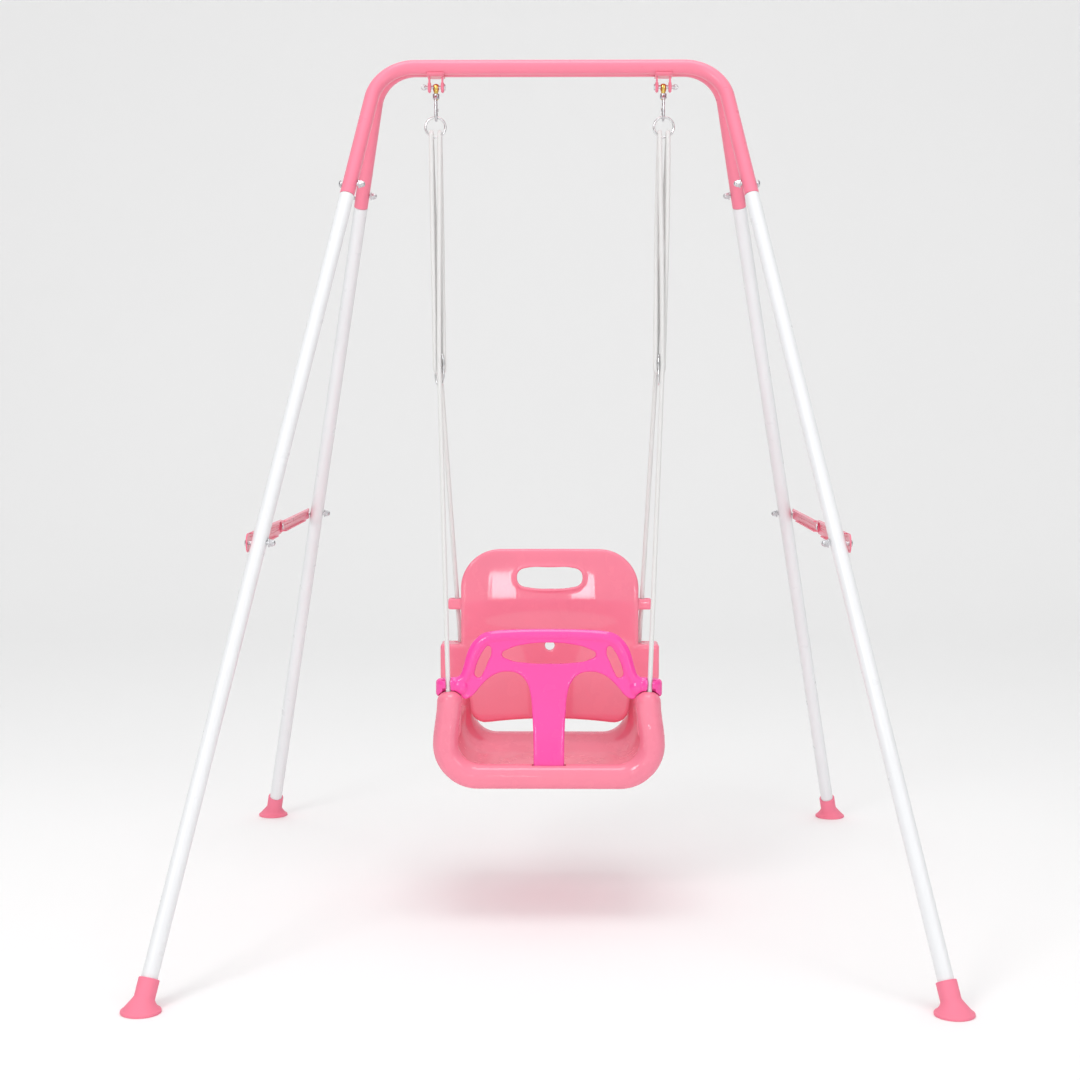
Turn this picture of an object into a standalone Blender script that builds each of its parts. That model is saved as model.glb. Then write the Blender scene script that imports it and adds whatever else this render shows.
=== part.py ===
"""Folding baby swing set: a steel A-frame, two ropes and a three-piece moulded seat.

Metres, +Z up, +X to the right seen from the front, -Y towards the front. The origin lies on the
floor under the middle of the frame. Everything is mirror symmetric in X except the rope adjusters,
which hang turned by different angles.
"""
import math

import bmesh
import bpy
from mathutils import Matrix, Vector

# Overall
HEIGHT = 1.300
GAP = 0.0003

# Frame tube and the two leaning half frames
TUBE_R = 0.011
BORE_R = 0.0098
BAR_HALF_SPACING = 0.0125
BAR_Z = HEIGHT - TUBE_R
LEAN = math.radians(23.6)
TOP_HALF = 0.205
BEND_R = 0.066
SPLAY = math.atan(0.187)
ARM_END = 0.219
SPLICE_BOLT = 0.201
BRACE_BOLT = 0.767
LEG_FOOT = BAR_Z / math.cos(LEAN)
TIP_R = 0.0091
TIP_BORE_R = 0.0079
TIP_LENGTH = 0.045
BOLT_HOLE_R = 0.0033
TUBE_SIDES = 16

# Feet
FOOT_R = 0.0265
FOOT_LIP = 0.006
FOOT_SLEEVE_R = 0.0138
FOOT_SLEEVE_TOP = 0.044
FOOT_FLARE_TOP = 0.019
FOOT_SEAT = 0.012

# Fasteners (M6)
SHANK_R = 0.0029
HEAD_R = 0.0058
HEAD_T = 0.0036
WASHER_R = 0.0064
WASHER_T = 0.0014
HEX_R = 0.0056
HEX_T = 0.0045
DOME_R = 0.0043
DOME_T = 0.0042
NUT_BORE_R = 0.0032
TUBE_CLEAR = 0.0130

# Folding brace
LINK_T = 0.0014
FRONT_WEB = 0.0154
REAR_WEB = 0.0137
FRONT_LINK_H = 0.023
REAR_LINK_H = 0.017
FLANGE = 0.0045
FRONT_FLANGE_FROM = 0.020
UPPER_FLANGE_CUT = 0.006
LOWER_FLANGE_CUT = 0.056
REAR_FLANGE_FROM = 0.014
REAR_FLANGE_CUT = 0.030
REAR_LOWER_FLANGE_CUT = 0.072
RIVET_R = 0.0025
RIVET_HEAD_R = 0.0048
STUD_HEAD_R = 0.0058
STUB_OUT = 0.0108
STUB_GAP = 0.0006

# Hangers
HANGER_X = 0.174
SADDLE_HALF = 0.013
SHEET = 0.0025
EAR_X = 0.010
EAR_HALF = 0.0085
PIN_Z = 1.2606
PIN_R = 0.0028
PIN_RING_R = 0.0062
PIN_CROSS_R = 0.0016
EYE_BALL_R = 0.0064
HOOK_X = 0.0021
HOOK_HALF = 0.0085
HOOK_BOTTOM = 1.2088
RING_X = 0.175
RING_R = 0.0152
RING_WIRE = 0.0018
RING_Z = HOOK_BOTTOM + 2 * HOOK_X + 0.0005 + RING_WIRE - RING_R

# Ropes and adjusters
ROPE_R = 0.0036
ROPE_OVER_RING = 0.0065
ADJUSTER_X = 0.170
ADJUSTER_Z = 0.830
ADJUSTER_WIRE = 0.0015
ADJUSTER_HALF_W = 0.0095
ADJUSTER_LOOP = 0.0235
ADJUSTER_WAIST = 0.25
ADJUSTER_TURN = {"left": math.radians(40), "right": math.radians(78)}
FRONT_HOLE = Vector((0.151, -0.131, 0.3460))
REAR_HOLE = Vector((0.145, 0.122, 0.3790))
ROPE_BORE_R = 0.0055
KNOT_R = 0.0085
KNOT_POCKET_R = 0.0110
FRONT_POCKET_TOP = 0.2510
REAR_POCKET_TOP = 0.2620

# Seat base
BASE_BOTTOM = 0.200
BASE_HALF = 0.1745
RAIL_Y = -0.131
RAIL_R = 0.019
RAIL_TOP = 0.2375
POST_TOP = 0.3485
SIDE_RIM = 0.291
REAR_RIM = 0.239
REAR_POST_TOP = 0.380
STEM_HALF = 0.0230

# Guard
GUARD_TILT = math.radians(4.1)
GUARD_Y = -0.131
GUARD_FOOT = 0.2255
GUARD_HALF_T = 0.0050
GUARD_TUBE_R = 0.0087
GUARD_TOP = 0.4405
CAP_Y = -0.116
CAP_R = 0.0195
CAP_TOP = 0.3675
CAP_BOTTOM = 0.3375
STEM_LEVEL = 0.2400

# Backrest
BACK_Y = 0.098
BACK_TOP = 0.5435
BACK_BOTTOM = 0.262
BACK_HALF = 0.143
BACK_CORNER = 0.063
BACK_T = 0.011
BACK_WRAP = 0.010
BACK_ARCH = 0.0055
BACK_ARCH_HALF = 0.100
BACK_HOLE_Z = 0.387
BACK_HOLE_R = 0.0079
BELT_SLOT_X = 0.0845
BELT_SLOT_HALF = 0.0028
BELT_SLOT_LOW = 0.352
BELT_SLOT_HIGH = 0.382
HANDLE_Z = 0.496
LIP_R = 0.0024

SIDES = (("left", -1.0), ("right", 1.0))
ENDS = (("front", -1.0), ("rear", 1.0))

PINK = (0.930, 0.235, 0.340)
DEEP_PINK = (1.000, 0.070, 0.400)
WHITE = (0.880, 0.890, 0.905)
ROPE_WHITE = (0.830, 0.830, 0.820)
ZINC = (0.520, 0.520, 0.540)
BRASS = (0.700, 0.520, 0.080)


def clear_scene():
    for obj in list(bpy.data.objects):
        bpy.data.objects.remove(obj, do_unlink=True)


clear_scene()
swing_set = bpy.data.collections.new("baby_swing_set")
cutters = bpy.data.collections.new("cutters")
bpy.context.scene.collection.children.link(swing_set)
bpy.context.scene.collection.children.link(cutters)


def material(name, colour, metallic, roughness):
    made = bpy.data.materials.new(name)
    made.use_nodes = True
    shader = made.node_tree.nodes["Principled BSDF"]
    shader.inputs["Base Color"].default_value = (*colour, 1.0)
    shader.inputs["Metallic"].default_value = metallic
    shader.inputs["Roughness"].default_value = roughness
    return made


LOOKS = {
    "coat": (PINK, 0.0, 0.30),
    "moulded": (PINK, 0.0, 0.22),
    "guard": (DEEP_PINK, 0.0, 0.22),
    "leg": (WHITE, 0.0, 0.30),
    "rope": (ROPE_WHITE, 0.0, 0.85),
    "zinc": (ZINC, 1.0, 0.30),
    "brass": (BRASS, 1.0, 0.28),
}


def smooth(mesh, degrees=38):
    mesh.shade_smooth()
    mesh.set_sharp_from_angle(angle=math.radians(degrees))


def add(name, mesh, look, origin=(0.0, 0.0, 0.0)):
    """Puts a mesh given in world coordinates into the model, with its object's origin at origin."""
    mesh.transform(Matrix.Translation(-Vector(origin)))
    mesh.name = name
    smooth(mesh)
    obj = bpy.data.objects.new(name, mesh)
    obj.location = origin
    obj.data.materials.append(material(name, *LOOKS[look]))
    swing_set.objects.link(obj)
    return obj


def helper(name, mesh):
    obj = bpy.data.objects.new(name, mesh)
    obj.hide_render = True
    obj.display_type = "WIRE"
    cutters.objects.link(obj)
    return obj


def combine(obj, mesh, operation):
    """Adds an EXACT Boolean of obj with a mesh given in world coordinates."""
    other = helper(f"{obj.name}_{operation.lower()}_{len(obj.modifiers)}", mesh)
    modifier = obj.modifiers.new(operation.title(), "BOOLEAN")
    modifier.operation = operation
    modifier.solver = "EXACT"
    modifier.object = other
    return modifier


def joined(meshes):
    """One mesh of several that don't touch each other."""
    build = bmesh.new()
    for mesh in meshes:
        build.from_mesh(mesh)
    made = bpy.data.meshes.new("joined")
    build.to_mesh(made)
    build.free()
    return made


def box(low, high, bevel=0.0, segments=3):
    build = bmesh.new()
    bmesh.ops.create_cube(build, size=1.0)
    size = Vector(high) - Vector(low)
    middle = (Vector(high) + Vector(low)) / 2
    build.transform(Matrix.Translation(middle) @ Matrix.Diagonal((*size, 1.0)))
    if bevel:
        bmesh.ops.bevel(build, geom=build.edges[:], offset=bevel, segments=segments, profile=0.5,
                        affect="EDGES")
    made = bpy.data.meshes.new("box")
    build.to_mesh(made)
    build.free()
    return made


def rod(start, end, radius, sides=16):
    """A cylinder between two points."""
    start = Vector(start)
    axis = Vector(end) - start
    build = bmesh.new()
    bmesh.ops.create_cone(build, cap_ends=True, segments=sides, radius1=radius, radius2=radius,
                          depth=axis.length)
    turn = axis.to_track_quat("Z", "Y").to_matrix().to_4x4()
    build.transform(Matrix.Translation(start + axis / 2) @ turn)
    made = bpy.data.meshes.new("rod")
    build.to_mesh(made)
    build.free()
    return made


def ball(middle, radius, segments=12, rings=8):
    build = bmesh.new()
    bmesh.ops.create_uvsphere(build, u_segments=segments, v_segments=rings, radius=radius)
    build.transform(Matrix.Translation(middle))
    made = bpy.data.meshes.new("ball")
    build.to_mesh(made)
    build.free()
    return made


def evaluated(obj):
    """The mesh of an object with its modifiers, in world coordinates. The object is removed."""
    graph = bpy.context.evaluated_depsgraph_get()
    made = bpy.data.meshes.new_from_object(obj.evaluated_get(graph))
    made.transform(obj.matrix_world)
    build = bmesh.new()
    build.from_mesh(made)
    bmesh.ops.remove_doubles(build, verts=build.verts[:], dist=0.00001)
    bmesh.ops.recalc_face_normals(build, faces=build.faces[:])
    build.to_mesh(made)
    build.free()
    bpy.data.objects.remove(obj)
    return made


def tube(points, radius, sides=12, cyclic=False):
    """A bent wire or tube through the points, with capped ends."""
    curve = bpy.data.curves.new("tube", "CURVE")
    curve.dimensions = "3D"
    curve.bevel_depth = radius
    curve.bevel_resolution = (sides - 4) // 2
    curve.use_fill_caps = not cyclic
    spline = curve.splines.new("POLY")
    spline.points.add(len(points) - 1)
    for slot, point in zip(spline.points, points):
        slot.co = (*point, 1.0)
    spline.use_cyclic_u = cyclic
    obj = bpy.data.objects.new("tube", curve)
    swing_set.objects.link(obj)
    bpy.context.view_layer.update()
    return evaluated(obj)


def plate(outlines, half_thickness, bevel, matrix, resolution=4, bevel_steps=1):
    """A flat piece with rounded edges. Each outline is closed: (x, y) points of a smooth curve."""
    curve = bpy.data.curves.new("plate", "CURVE")
    curve.dimensions = "2D"
    curve.fill_mode = "BOTH"
    curve.extrude = half_thickness - bevel
    curve.bevel_depth = bevel
    curve.bevel_resolution = bevel_steps
    curve.offset = -bevel
    curve.resolution_u = resolution
    for points in outlines:
        spline = curve.splines.new("BEZIER")
        spline.bezier_points.add(len(points) - 1)
        for slot, point in zip(spline.bezier_points, points):
            slot.co = (point[0], point[1], 0.0)
            corner = len(point) > 2
            slot.handle_left_type = "VECTOR" if corner else "AUTO"
            slot.handle_right_type = "VECTOR" if corner else "AUTO"
        spline.use_cyclic_u = True
    obj = bpy.data.objects.new("plate", curve)
    obj.matrix_world = matrix
    swing_set.objects.link(obj)
    bpy.context.view_layer.update()
    return evaluated(obj)


def turned(name, profile, start, axis, look, steps=16, closed=False, origin=None):
    """A lathe piece: profile is (distance along the axis, radius) from one end to the other."""
    build = bmesh.new()
    verts = [build.verts.new((radius, 0.0, along)) for along, radius in profile]
    pairs = list(zip(verts, verts[1:]))
    if closed:
        pairs.append((verts[-1], verts[0]))
    for first, second in pairs:
        build.edges.new((first, second))
    mesh = bpy.data.meshes.new(name)
    build.to_mesh(mesh)
    build.free()
    obj = bpy.data.objects.new(name, mesh)
    screw = obj.modifiers.new("Screw", "SCREW")
    screw.steps = steps
    screw.render_steps = steps
    screw.use_merge_vertices = True
    screw.merge_threshold = 0.00001
    screw.use_smooth_shade = True
    turn = Vector(axis).to_track_quat("Z", "Y").to_matrix().to_4x4()
    obj.matrix_world = Matrix.Translation(Vector(start)) @ turn
    swing_set.objects.link(obj)
    bpy.context.view_layer.update()
    return add(name, evaluated(obj), look, origin or (0.0, 0.0, 0.0))


def loft(rings, closed=False):
    """A solid through unlike rings that have the same number of points."""
    build = bmesh.new()
    rows = [[build.verts.new(point) for point in ring] for ring in rings]
    count = len(rows[0])
    following = rows[1:] + (rows[:1] if closed else [])
    for row, after in zip(rows, following):
        for i in range(count):
            j = (i + 1) % count
            build.faces.new((row[i], row[j], after[j], after[i]))
    if not closed:
        build.faces.new(rows[0])
        build.faces.new(rows[-1])
    bmesh.ops.recalc_face_normals(build, faces=build.faces[:])
    made = bpy.data.meshes.new("loft")
    build.to_mesh(made)
    build.free()
    return made


def blend(stations, at):
    """Reads a value from (position, value) stations with a smooth step between them."""
    if at <= stations[0][0]:
        return stations[0][1]
    for (p0, v0), (p1, v1) in zip(stations, stations[1:]):
        if at <= p1:
            t = (at - p0) / (p1 - p0)
            return v0 + (v1 - v0) * t * t * (3 - 2 * t)
    return stations[-1][1]


def flow(stations, at):
    """Reads a value from (position, value) stations with one curve that never overshoots them."""
    if at <= stations[0][0]:
        return stations[0][1]
    slopes = [(v1 - v0) / (p1 - p0) for (p0, v0), (p1, v1) in zip(stations, stations[1:])]
    leans = [0.0]
    for before, after in zip(slopes, slopes[1:]):
        leans.append(2 * before * after / (before + after) if before * after > 0 else 0.0)
    leans.append(0.0)
    spans = zip(stations, stations[1:], leans, leans[1:])
    for (p0, v0), (p1, v1), lean0, lean1 in spans:
        if at <= p1:
            t = (at - p0) / (p1 - p0)
            step = t * t * (3 - 2 * t)
            bow = (p1 - p0) * t * (1 - t)
            return v0 + (v1 - v0) * step + bow * (lean0 * (1 - t) - lean1 * t)
    return stations[-1][1]


# Frame

def on_frame(end, along, x):
    """World point of a half frame: along is measured down its leaning plane from the bar's axis."""
    return Vector((x, end * (BAR_HALF_SPACING + along * math.sin(LEAN)), BAR_Z - along * math.cos(LEAN)))


def leg_x(along):
    turn = math.pi / 2 - SPLAY
    return TOP_HALF + BEND_R * math.sin(turn) + math.tan(SPLAY) * (along - BEND_R * (1 - math.cos(turn)))


def leg_point(end, side, along):
    return on_frame(end, along, side * leg_x(along))


def arch_path(end, reach):
    """The centreline of an arch, with its arms ending at the distance reach down the plane."""
    half = []
    steps = 7
    for i in range(steps + 1):
        turn = (math.pi / 2 - SPLAY) * i / steps
        half.append((TOP_HALF + BEND_R * math.sin(turn), BEND_R * (1 - math.cos(turn))))
    half.append((leg_x(reach), reach))
    left = [(-x, along) for x, along in reversed(half)]
    return [on_frame(end, along, x) for x, along in left + half]


def cross_holes(points, radius=BOLT_HOLE_R, reach=0.020):
    """Cutters along X through each of the points."""
    across = Vector((reach, 0.0, 0.0))
    return joined([rod(point - across, point + across, radius, 8) for point in points])


def make_arch(name, end, origin):
    arch = add(name, tube(arch_path(end, ARM_END), TUBE_R, TUBE_SIDES), "coat", origin)
    combine(arch, tube(arch_path(end, ARM_END + 0.01), BORE_R, 12), "DIFFERENCE")
    combine(arch, cross_holes([leg_point(end, side, SPLICE_BOLT) for _, side in SIDES]), "DIFFERENCE")
    return arch


def make_leg(name, end, side, origin):
    """A tube with a swaged tip that stands in the arch's arm. Its lower end stands in the foot."""
    top = leg_point(end, side, ARM_END + GAP - TIP_LENGTH)
    bottom = leg_point(end, side, LEG_FOOT)
    down = (bottom - top).normalized()
    length = (bottom - top).length - FOOT_SEAT - GAP
    shoulder = (leg_point(end, side, ARM_END + GAP) - top).length
    profile = [
        (0.0, TIP_R),
        (shoulder, TIP_R),
        (shoulder + GAP, TUBE_R),
        (length, TUBE_R),
        (length, BORE_R),
        (shoulder + 0.004, BORE_R),
        (shoulder, TIP_BORE_R),
        (0.0, TIP_BORE_R),
    ]
    leg = turned(name, profile, top, down, "leg", TUBE_SIDES, closed=True, origin=origin)
    combine(leg, cross_holes([leg_point(end, side, SPLICE_BOLT), leg_point(end, side, BRACE_BOLT)]),
            "DIFFERENCE")
    return leg


def make_foot(name, end, side, origin):
    """A boot: a flat round sole on the floor that flares up into a sleeve along the leaning leg."""
    middle = leg_point(end, side, LEG_FOOT)
    up = (leg_point(end, side, 1.0) - middle).normalized()
    count = 16

    def ring(centre, normal, radius):
        across = Vector((1.0, 0.0, 0.0))
        ahead = normal.cross(across).normalized()
        across = ahead.cross(normal).normalized()
        turns = [2 * math.pi * i / count for i in range(count)]
        return [centre + across * radius * math.cos(t) + ahead * radius * math.sin(t) for t in turns]

    level = Vector((0.0, 0.0, 1.0))
    rings = [
        ring(middle, level, FOOT_R - 0.001),
        ring(middle + level * 0.001, level, FOOT_R),
        ring(middle + level * (FOOT_LIP - 0.0015), level, FOOT_R),
        ring(middle + level * FOOT_LIP, level, FOOT_R - 0.002),
    ]
    flare_steps = 3
    for i in range(1, flare_steps + 1):
        t = i / flare_steps
        lean = level.lerp(up, t).normalized()
        start = middle + level * FOOT_LIP
        centre = start.lerp(middle + up * FOOT_FLARE_TOP, t)
        radius = FOOT_SLEEVE_R + (FOOT_R - 0.0045 - FOOT_SLEEVE_R) * (1 - t) ** 1.8
        rings.append(ring(centre, lean, radius))
    rings += [
        ring(middle + up * (FOOT_SLEEVE_TOP - 0.0012), up, FOOT_SLEEVE_R),
        ring(middle + up * FOOT_SLEEVE_TOP, up, FOOT_SLEEVE_R - 0.0012),
        ring(middle + up * FOOT_SLEEVE_TOP, up, TUBE_R + GAP),
        ring(middle + up * FOOT_SEAT, up, TUBE_R + GAP),
    ]
    return add(name, loft(rings), "moulded", origin)


def make_bolt(name, point, side, outer, inner, origin):
    """A domed screw along X: its head lies outward at the distance outer, its tip at inner."""
    length = outer + inner
    profile = [
        (0.0, 0.0),
        (0.0, SHANK_R),
        (length, SHANK_R),
        (length, HEAD_R),
        (length + HEAD_T * 0.45, HEAD_R),
        (length + HEAD_T, HEAD_R * 0.55),
        (length + HEAD_T, 0.0),
    ]
    start = point - Vector((side * inner, 0.0, 0.0))
    return turned(name, profile, start, (side, 0.0, 0.0), "zinc", 12, origin=origin)


def make_nut(name, point, side, from_tube, origin):
    """A washer and an acorn nut in one piece, on the inner side of the tube."""
    profile = [
        (0.0, NUT_BORE_R),
        (0.0, WASHER_R),
        (WASHER_T, WASHER_R),
        (WASHER_T, HEX_R),
        (WASHER_T + HEX_T, HEX_R),
        (WASHER_T + HEX_T, DOME_R),
        (WASHER_T + HEX_T + DOME_T * 0.7, DOME_R * 0.75),
        (WASHER_T + HEX_T + DOME_T, 0.0),
    ]
    floor = WASHER_T + HEX_T + 0.001
    profile += [(floor, 0.0), (floor, NUT_BORE_R)]
    start = point - Vector((side * from_tube, 0.0, 0.0))
    return turned(name, profile, start, (-side, 0.0, 0.0), "zinc", 8, closed=True, origin=origin)


def headed_pin(name, point, side, inner, outer, radius, inner_head, outer_head, origin):
    """A pin along X from inner to outer, with a flat inner head, or none, and a domed outer head."""
    flat = 0.0012
    length = outer - inner
    profile = [(0.0, 0.0), (0.0, radius)]
    if inner_head:
        profile = [(-flat, 0.0), (-flat, inner_head), (0.0, inner_head), (0.0, radius)]
    profile += [
        (length, radius),
        (length, outer_head),
        (length + flat, outer_head * 0.92),
        (length + 2 * flat, outer_head * 0.5),
        (length + 2 * flat, 0.0),
    ]
    start = point + Vector((side * inner, 0.0, 0.0))
    return turned(name, profile, start, (side, 0.0, 0.0), "zinc", 12, origin=origin)


NUT_REACH = TUBE_CLEAR + WASHER_T + HEX_T
REAR_HINGE = (0.0, BAR_HALF_SPACING, BAR_Z)

for end_name, end in ENDS:
    origin = REAR_HINGE if end > 0 else (0.0, 0.0, 0.0)
    make_arch(f"{end_name}_arch_tube", end, origin)
    for side_name, side in SIDES:
        label = f"{end_name}_{side_name}"
        make_leg(f"{label}_leg", end, side, origin)
        make_foot(f"{label}_foot", end, side, origin)
        splice = leg_point(end, side, SPLICE_BOLT)
        make_bolt(f"{label}_splice_bolt", splice, side, TUBE_CLEAR, NUT_REACH, origin)
        make_nut(f"{label}_splice_nut", splice, side, TUBE_CLEAR, origin)


# Folding braces

def link_plate(start, end_point, height, x0, x1, steps=7):
    """An upright strip with round ends between two points, from x0 to x1."""
    along = (end_point - start).normalized()
    upward = Vector((1.0, 0.0, 0.0)).cross(along) * (1 if along.y > 0 else -1)
    outline = []
    for centre, heading in ((end_point, along), (start, -along)):
        side_up = upward if heading is along else -upward
        for i in range(steps + 1):
            turn = math.pi * i / steps
            outline.append(centre + (side_up * math.cos(turn) + heading * math.sin(turn)) * height / 2)
    near = [Vector((x0, p.y, p.z)) for p in outline]
    far = [Vector((x1, p.y, p.z)) for p in outline]
    return loft([near, far])


def make_link(name, start, finish, height, side, web, flanges, hole_ends, look, origin):
    """A channel: an upright web at web from the leg's axis, with flanges turned inward."""
    x0 = side * (leg_x(BRACE_BOLT) + web)
    x1 = side * (leg_x(BRACE_BOLT) + web + LINK_T)
    link = add(name, link_plate(start, finish, height, min(x0, x1), max(x0, x1)), look, origin)
    inner = side * (leg_x(BRACE_BOLT) + web - FLANGE)
    for y0, y1, level in flanges:
        low = start.z + level * height / 2 - (LINK_T if level > 0 else 0.0)
        strip = box((min(inner, x1), y0, low), (max(inner, x1), y1, low + LINK_T))
        combine(link, strip, "UNION")
    combine(link, cross_holes([p + Vector((x0 - p.x, 0, 0)) for p in hole_ends]), "DIFFERENCE")
    return link


for side_name, side in SIDES:
    front = leg_point(-1.0, side, BRACE_BOLT)
    rear = leg_point(1.0, side, BRACE_BOLT)
    middle = (front + rear) / 2
    make_link(f"{side_name}_brace_front_link", front, middle, FRONT_LINK_H, side, FRONT_WEB,
              [(front.y + FRONT_FLANGE_FROM, middle.y - UPPER_FLANGE_CUT, 1.0),
               (front.y + FRONT_FLANGE_FROM, middle.y - LOWER_FLANGE_CUT, -1.0)],
              [front, middle], "coat", front)
    make_link(f"{side_name}_brace_rear_link", middle, rear, REAR_LINK_H, side, REAR_WEB,
              [(middle.y + REAR_FLANGE_FROM, rear.y - REAR_FLANGE_CUT, 1.0),
               (middle.y + REAR_FLANGE_FROM, rear.y - REAR_LOWER_FLANGE_CUT, -1.0)],
              [middle, rear], "coat", middle)
    web_out = FRONT_WEB + LINK_T
    make_bolt(f"{side_name}_brace_front_bolt", front, side, web_out + GAP, NUT_REACH, (0.0, 0.0, 0.0))
    make_nut(f"{side_name}_brace_front_nut", front, side, TUBE_CLEAR, (0.0, 0.0, 0.0))
    stub = [(0.0, 0.0), (0.0, SHANK_R), (STUB_OUT + NUT_REACH, SHANK_R), (STUB_OUT + NUT_REACH, 0.0)]
    turned(f"{side_name}_brace_rear_stub", stub, rear - Vector((side * NUT_REACH, 0.0, 0.0)),
           (side, 0.0, 0.0), "zinc", 12, origin=REAR_HINGE)
    make_nut(f"{side_name}_brace_rear_nut", rear, side, TUBE_CLEAR, REAR_HINGE)
    headed_pin(f"{side_name}_brace_rivet", middle, side, REAR_WEB - GAP, web_out + GAP, RIVET_R,
               RIVET_HEAD_R, RIVET_HEAD_R, front)
    headed_pin(f"{side_name}_brace_rear_stud", rear, side, STUB_OUT + STUB_GAP, REAR_WEB + LINK_T + GAP,
               SHANK_R, 0.0, STUD_HEAD_R, middle)


# Hangers: a folded saddle under both bars, its pin, and the gear that hangs on it

def saddle_strip(x):
    """The bent sheet, seen from the side: a lip up the front bar, a web, a cup round the rear bar."""
    inner_r = TUBE_R + GAP
    outer_r = inner_r + SHEET
    steps = 6
    inner_line = []
    outer_line = []
    for i in range(steps + 1):
        turn = math.pi + math.pi / 2 * i / steps
        for line, radius in ((inner_line, inner_r), (outer_line, outer_r)):
            line.append((-BAR_HALF_SPACING + radius * math.cos(turn), BAR_Z + radius * math.sin(turn)))
    for i in range(steps + 3):
        turn = -math.pi / 2 + (math.pi / 2 + math.radians(25)) * i / (steps + 2)
        for line, radius in ((inner_line, inner_r), (outer_line, outer_r)):
            line.append((BAR_HALF_SPACING + radius * math.cos(turn), BAR_Z + radius * math.sin(turn)))
    outline = inner_line + outer_line[::-1]
    return [Vector((x, y, z)) for y, z in outline]


def ear_plate(x0, x1):
    """A hanging ear with a round lower end about the pin."""
    outline = []
    steps = 8
    top = BAR_Z - TUBE_R - GAP - SHEET / 2
    outline.append((EAR_HALF, top))
    for i in range(steps + 1):
        turn = -math.pi * i / steps
        outline.append((EAR_HALF * math.cos(turn), PIN_Z + EAR_HALF * math.sin(turn)))
    outline.append((-EAR_HALF, top))
    return loft([[Vector((x, y, z)) for y, z in outline] for x in (x0, x1)])


def pin_point(side, x=0.0):
    return Vector((side * HANGER_X + x, 0.0, PIN_Z))


for side_name, side in SIDES:
    centre = side * HANGER_X
    strip = loft([saddle_strip(centre - SADDLE_HALF), saddle_strip(centre + SADDLE_HALF)])
    saddle = add(f"{side_name}_saddle", strip, "coat")
    for ear_side in (-1, 1):
        middle_x = centre + ear_side * EAR_X
        combine(saddle, ear_plate(middle_x - SHEET / 2, middle_x + SHEET / 2), "UNION")
    hole = rod(pin_point(side, -0.02), pin_point(side, 0.02), PIN_R + GAP, 12)
    combine(saddle, hole, "DIFFERENCE")
    shank = EAR_X + SHEET / 2 + GAP
    pin_profile = [
        (-0.0030, 0.0),
        (-0.0030, 0.0046),
        (0.0, 0.0050),
        (0.0, PIN_R),
        (2 * shank + 0.0055, PIN_R),
        (2 * shank + 0.0065, PIN_R * 0.7),
        (2 * shank + 0.0065, 0.0),
    ]
    pin = turned(f"{side_name}_hanger_pin", pin_profile, pin_point(side, -side * shank),
                 (side, 0.0, 0.0), "zinc", 12)
    cross = pin_point(side, side * (shank + 0.0032))
    upright = Vector((0.0, 0.0, 0.006))
    combine(pin, rod(cross - upright, cross + upright, PIN_CROSS_R, 8), "DIFFERENCE")
    ring_middle = cross + Vector((side * (PIN_RING_R - 0.0003), 0.0, 0.0))
    turns = [2 * math.pi * i / 12 for i in range(12)]
    loop = [ring_middle + Vector((math.cos(t), 0.0, math.sin(t))) * PIN_RING_R for t in turns]
    add(f"{side_name}_pin_ring", tube(loop, 0.0007, 6, cyclic=True), "zinc")

SWING_HINGE = (0.0, 0.0, PIN_Z)

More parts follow.
